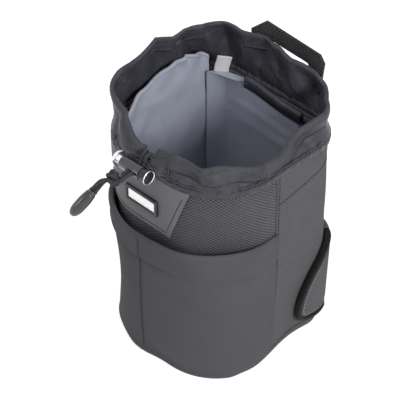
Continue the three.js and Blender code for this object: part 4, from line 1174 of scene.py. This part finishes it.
def make_handle():
    pivot = Point(4, BACK_DEPTH + 3.5, BODY_HEIGHT - 6)
    lean, skew = math.radians(8.6), 0.0015
    half, strap, tall, mitre, sink = 31, 12, 52.5, 5, 2.2
    inner, bar = half - strap, tall - strap
    right = [((half - mitre, tall), (inner - mitre / 2, bar)),
             ((half, tall - mitre), (inner, bar - mitre / 2))]
    right += [((half, z), (inner, z)) for z in (2, -3, -30)]
    left = [((-x, z), (-u, w)) for (x, z), (u, w) in reversed(right)]
    left[3] = (-half - 8, tall - 12), (-inner - 7, bar - 7)
    stations = np.array(left + right, float)
    rows = []
    for a, b, count in zip(stations, stations[1:], (18, 5, 26, 9, 30, 9, 26, 5, 18)):
        rows.append(a + (b - a) * np.arange(count)[:, None, None] / count)
    rows = np.concatenate(rows + [stations[-1:]])
    across = np.linspace(0, 1, 11)
    flat = rows[:, None, 0] + (rows[:, None, 1] - rows[:, None, 0]) * across[None, :, None]
    x, high = flat[..., 0], flat[..., 1]
    up = np.maximum(high, 0)
    corner = bell(np.abs(x) - 24, 5) * bell(high - 43, 5)
    y = pivot.y + up * math.sin(lean) - sink * smooth(-high / 4) - 0.5 * corner
    z = pivot.z + up * math.cos(lean) * (1 - skew * x) + np.minimum(high, 0)
    uv = grid((across - 0.5)[None] * strap, lengths(rows.mean(1))[:, None])
    handle = piece("grab_handle_strap", skin(grid(pivot.x + x, y, z), uv), "webbing", "grab_handle",
                   "handle_anchor_left", "handle_anchor_right", body=None)
    thicken(handle, 1.6, 0.0)
    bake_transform(handle)
    corners = np.array([(-4, -27), (4, -27), (4, -9), (-4, -9), (-4, -27), (4, -9), (4, -27), (-4, -9)])
    lines = []
    for middle in (strap / 2 - half, half - strap / 2):
        for a, b in zip(corners, corners[1:]):
            x, z = (a + (b - a) * shares(12)).T
            lines.append(back_line(pivot.x + middle + x, pivot.y - sink + 1, pivot.z + z))
    stitches("handle_stitching", lines, "webbing", pitch=2.4, width=0.5)


# Cord lock, drawcord, knot and pull

def turned(name, slot, profile, *nodes, body="cord_lock"):
    """Piece of the cord lock, turned about the barrel's axis."""
    return piece(name, lathe(profile, (0, LOCK.y, LOCK.z), (1, 0, 0), 64), slot, *nodes, body=body)


def make_cord_lock():
    low, high = (corner.x / MM for corner in (LOCK_LOW, LOCK_HIGH))
    r, bore, neck = BARREL_RADIUS, BARREL_BORE, high - 5
    turned("cord_lock_sleeve", "gunmetal", [
        (low, bore), (low, r - 0.7), (low + 0.2, r - 0.3), (low + 0.7, r),
        (neck - 0.5, r), (neck - 0.1, r - 0.3), (neck, r - 0.7), (neck, bore)], "cord_lock_barrel")
    turned("cord_lock_collar", "badge_black", [
        (neck + 0.05, bore), (neck + 0.05, r - 0.9), (high - 1.4, r - 0.9),
        (high - 0.9, r - 0.5), (high, r - 0.5), (high, bore)])
    eyelet = rounded(7.2, 4, 1.9)
    for word, side in (("front", -1), ("back", 1)):
        rings = []
        for grow, depth in ((0, -1.6), (0, 0.25), (0.3, 0.45), (0.7, 0.3), (0.9, -0.6)):
            x, z = (eyelet * (1 + grow / 6)).T
            over = np.sqrt(np.maximum(r ** 2 - z ** 2, 0)) + depth
            rings.append(grid(LOCK.x + x, LOCK.y + side * over, LOCK.z + z))
        mesh = skin(np.array(rings), loop=True, ring=True)
        piece(f"cord_lock_eyelet_{word}", mesh, "badge_black", body="cord_lock")

    low, high = box("cord_lock_end_cap")
    r, tip = (high.z - low.z) / 2, high.x
    stem, end = bore - GAP, tip - 0.9
    turned("cord_lock_end", "badge_black", [
        (low.x, 0), (low.x, stem), (tip - 2, stem), (tip - 2, r - 0.4), (end, r - 0.4),
        (end, r - 1), (tip - 0.5, r - 1.1), (tip - 0.3, r - 2), (tip - 0.3, 0)])
    turned("cord_lock_ring", "chrome", [
        (end, r - 0.8), (end, r - 0.1), (end + 0.2, r), (tip - 0.3, r),
        (tip - 0.15, r - 0.15), (tip - 0.15, r - 0.3), (tip - 0.4, r - 0.8)], "cord_lock_end_cap")

    low, high = box("cord_lock_plunger")
    r, tip, end = (high.z - low.z) / 2, low.x, LOCK.x - 6.6
    dome = [(tip + r * 0.28 * (1 - math.cos(a)), r * 0.94 * math.sin(a)) for a in np.linspace(0, QUARTER, 9)]
    turned("cord_lock_button", "chrome", dome + [
        (tip + 2, r), (tip + 3, r), (tip + 3.5, r - 0.4), (tip + 3.5, stem), (end, stem), (end, 0)],
        "cord_lock_plunger", body="plunger")
    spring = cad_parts["cord_lock_spring"]
    spring.data.materials.clear()
    spring.data.materials.append(FINISH["chrome"].material)


KNOT = np.array([-10.2, -91.0, 179.8])
PULL_MOUTH = np.array([-19.3, -101.2, 169.9])
PULL_TIP = np.array([-31, -113, 147.7])


def strand(side):
    """Route of one strand from the hem over the collar's edge and through the lock."""
    x = LOCK.x + side * 1.6
    back = LOCK.y + BARREL_RADIUS
    front = LOCK.y - BARREL_RADIUS - 4.6
    return [(LOCK.x + side * 2.6, 1.8 - FRONT_DEPTH, float(cord_height(LOCK.x)) + 1.6),
            (x, back + 4.8, LOCK.z + 6.6), (x, back + 2.4, LOCK.z + 1.5),
            (x, back - 0.5, LOCK.z), (x, LOCK.y - 3, LOCK.z), (x, front, LOCK.z)]


def make_cords():
    half = HEM_OPENING / 2 - 2.5
    s = np.linspace(LOCK.x + half, LOCK.x - half + GIRTH, 130)
    z = cord_height(s)
    hem = stand(s, collar_face(s, z) + CORD_OUT, z)
    route = curve(strand(1)[::-1] + hem.tolist() + strand(-1), 1.2)
    line = piece("drawcord_line", tube(route, CORD_DIAMETER / 2), "cord", "drawcord")

    # The two tails twist round a common middle line, from the knot into the pull
    middle = curve([KNOT + (-0.6, -0.7, -0.9), (-15.0, -96.4, 177.6), (-17.2, -98.9, 174.0),
                    (-18.8, -100.7, 170.8), (-21.9, -103.9, 165.1)], 0.8)
    first, second = cross_directions(middle)
    count = len(middle)
    turn = np.linspace(0.4, 2.6, count)[:, None]
    apart = np.interp(np.arange(count), [0, 6, count - 12, count], [1.9, 1.7, 1.4, 1.3])[:, None]
    for word, side, nodes in (("right", 1, ["cord_tail"]), ("left", -1, [])):
        hanging = middle + side * apart * (np.cos(turn) * first + np.sin(turn) * second)
        inlet = KNOT + (6.2, 0.6 - 0.6 * side, 0.5)
        tail = curve([strand(side)[-1], inlet, *hanging[::3], hanging[-1]], 0.7)
        cord = piece(f"cord_tail_{word}", tube(tail, TAIL_DIAMETER / 2, 14), "cord", *nodes, body=None)
        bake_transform(cord)

    t = np.linspace(0, 2 * TURN, 180)
    swing = 3.0 + 1.9 * np.cos(2.5 * t)
    wraps = grid(swing * np.cos(t), swing * np.sin(t), 2.6 * np.sin(2.5 * t))
    lie = Vector((-0.62, -0.6, -0.5)).to_track_quat("Z", "Y").to_matrix()
    knot = tube(wraps @ np.array(lie).T + KNOT, 1.45)
    fittings = [piece("cord_knot_wraps", knot, "cord", "cord_knot", body="cord_end"), *make_pull()]


def make_pull():
    axis = PULL_TIP - PULL_MOUTH
    length = float(np.linalg.norm(axis))
    radius, gap = 4.5, 0.03
    mouth = [(8.5, 0), (8.5, 1.95), (0.2, 1.95), (0, 2.3), (0, 2.9), (0.4, 3.2), (1.6, 3.25), (2.0, 3.0),
             (2.6, 3.05)]
    bulb = []
    for k in np.linspace(0.13, 1, 22):
        round_end = math.sqrt(max(0.0, 1 - ((k - 0.46) / 0.54) ** 4))
        bulb.append((length * k, radius * round_end * (0.8 + 0.2 * min(1, k / 0.4))))
    halves = []
    for word, start in (("front", math.pi), ("back", 0.0)):
        mesh = lathe(mouth + bulb, PULL_MOUTH, axis, 28, start + gap, math.pi - 2 * gap)
        halves.append(piece(f"cord_pull_{word}", mesh, "pull", f"cord_end_shell_{word}", body="cord_end"))
    return halves


# Stage: floor, light and camera, in metres

FLOOR_REACH = 6.0
FLOOR_GLOW = 0.76
SKY = 0.3


def link(name, data):
    thing = bpy.data.objects.new(name, data)
    bpy.context.scene.collection.objects.link(thing)
    return thing


def aim(thing, direction):
    thing.rotation_mode = "QUATERNION"
    thing.rotation_quaternion = direction.to_track_quat("-Z", "Y")


def in_view(tree):
    """1 on rays from the camera, off gloss and through glass, and 0 on the rays that only light things."""
    path = tree.nodes.new("ShaderNodeLightPath")
    seen = Field(tree, path.outputs["Is Camera Ray"]).larger(Field(tree, path.outputs["Is Glossy Ray"]))
    return seen.larger(Field(tree, path.outputs["Is Transmission Ray"]))


def make_stage():
    mesh = bpy.data.meshes.new("floor")
    corners = [(x * FLOOR_REACH, y * FLOOR_REACH, 0) for x, y in ((-1, -1), (1, -1), (1, 1), (-1, 1))]
    mesh.from_pydata(corners, [], [(0, 1, 2, 3)])
    floor = link("floor", mesh)
    floor.location.z = -0.2 * MM
    paper = Finish("paper", 0.9)
    paper.shades(paper.noise(400, 2), (1, 1, 1), 0.60, 0.64)
    paper.shader.inputs["Emission Color"].default_value = (1, 1, 1, 1)
    paper.join((in_view(paper.tree) * FLOOR_GLOW).socket, paper.shader.inputs["Emission Strength"])
    mesh.materials.append(paper.material)

    world = bpy.data.worlds.new("studio")
    bpy.context.scene.world = world
    world.use_nodes = True
    back = world.node_tree.nodes["Background"]
    back.inputs["Color"].default_value = (1, 1, 1, 1)
    strength = in_view(world.node_tree) * (1 - SKY) + SKY
    world.node_tree.links.new(strength.socket, back.inputs["Strength"])

    lamp("key", (1.12, -0.2, 0.72), 0.42, 9.5)
    lamp("front", (1.0, -1.05, 0.35), 0.3, 2.0)
    lamp("left", (-0.76, -1.15, 0.3), 0.3, 0.9)
    lamp("top", (-0.1, -0.25, 1.4), 0.7, 5)


def lamp(name, place, size, power):
    light = bpy.data.lights.new(name, "AREA")
    light.shape = "DISK"
    light.size = size
    light.energy = power
    thing = link(name, light)
    thing.location = place
    aim(thing, Vector((0, 0, 0.11)) - thing.location)


def make_camera():
    azimuth, elevation = math.radians(45), math.radians(40)
    level = math.cos(elevation)
    away = Vector((math.sin(azimuth) * level, -math.cos(azimuth) * level, math.sin(elevation)))
    right = Vector((math.cos(azimuth), math.sin(azimuth), 0))
    up = away.cross(right)
    data = bpy.data.cameras.new("camera")
    data.sensor_width = 36
    data.lens = 157.4
    camera = link("camera", data)
    camera.location = Vector((0, 0, 0.080)) + away * 1.3 - right * 0.01264 + up * 0.02483
    aim(camera, -away)
    bpy.context.scene.camera = camera


bpy.context.scene.view_settings.view_transform = "Standard"
make_camera()
make_cords()
make_shell()
make_base()
make_inside()
make_collar()
make_pocket()
make_patch()
make_carrier()
make_wing("right", 1)
make_wing("left", -1)
make_handle()
make_cord_lock()
make_stage()
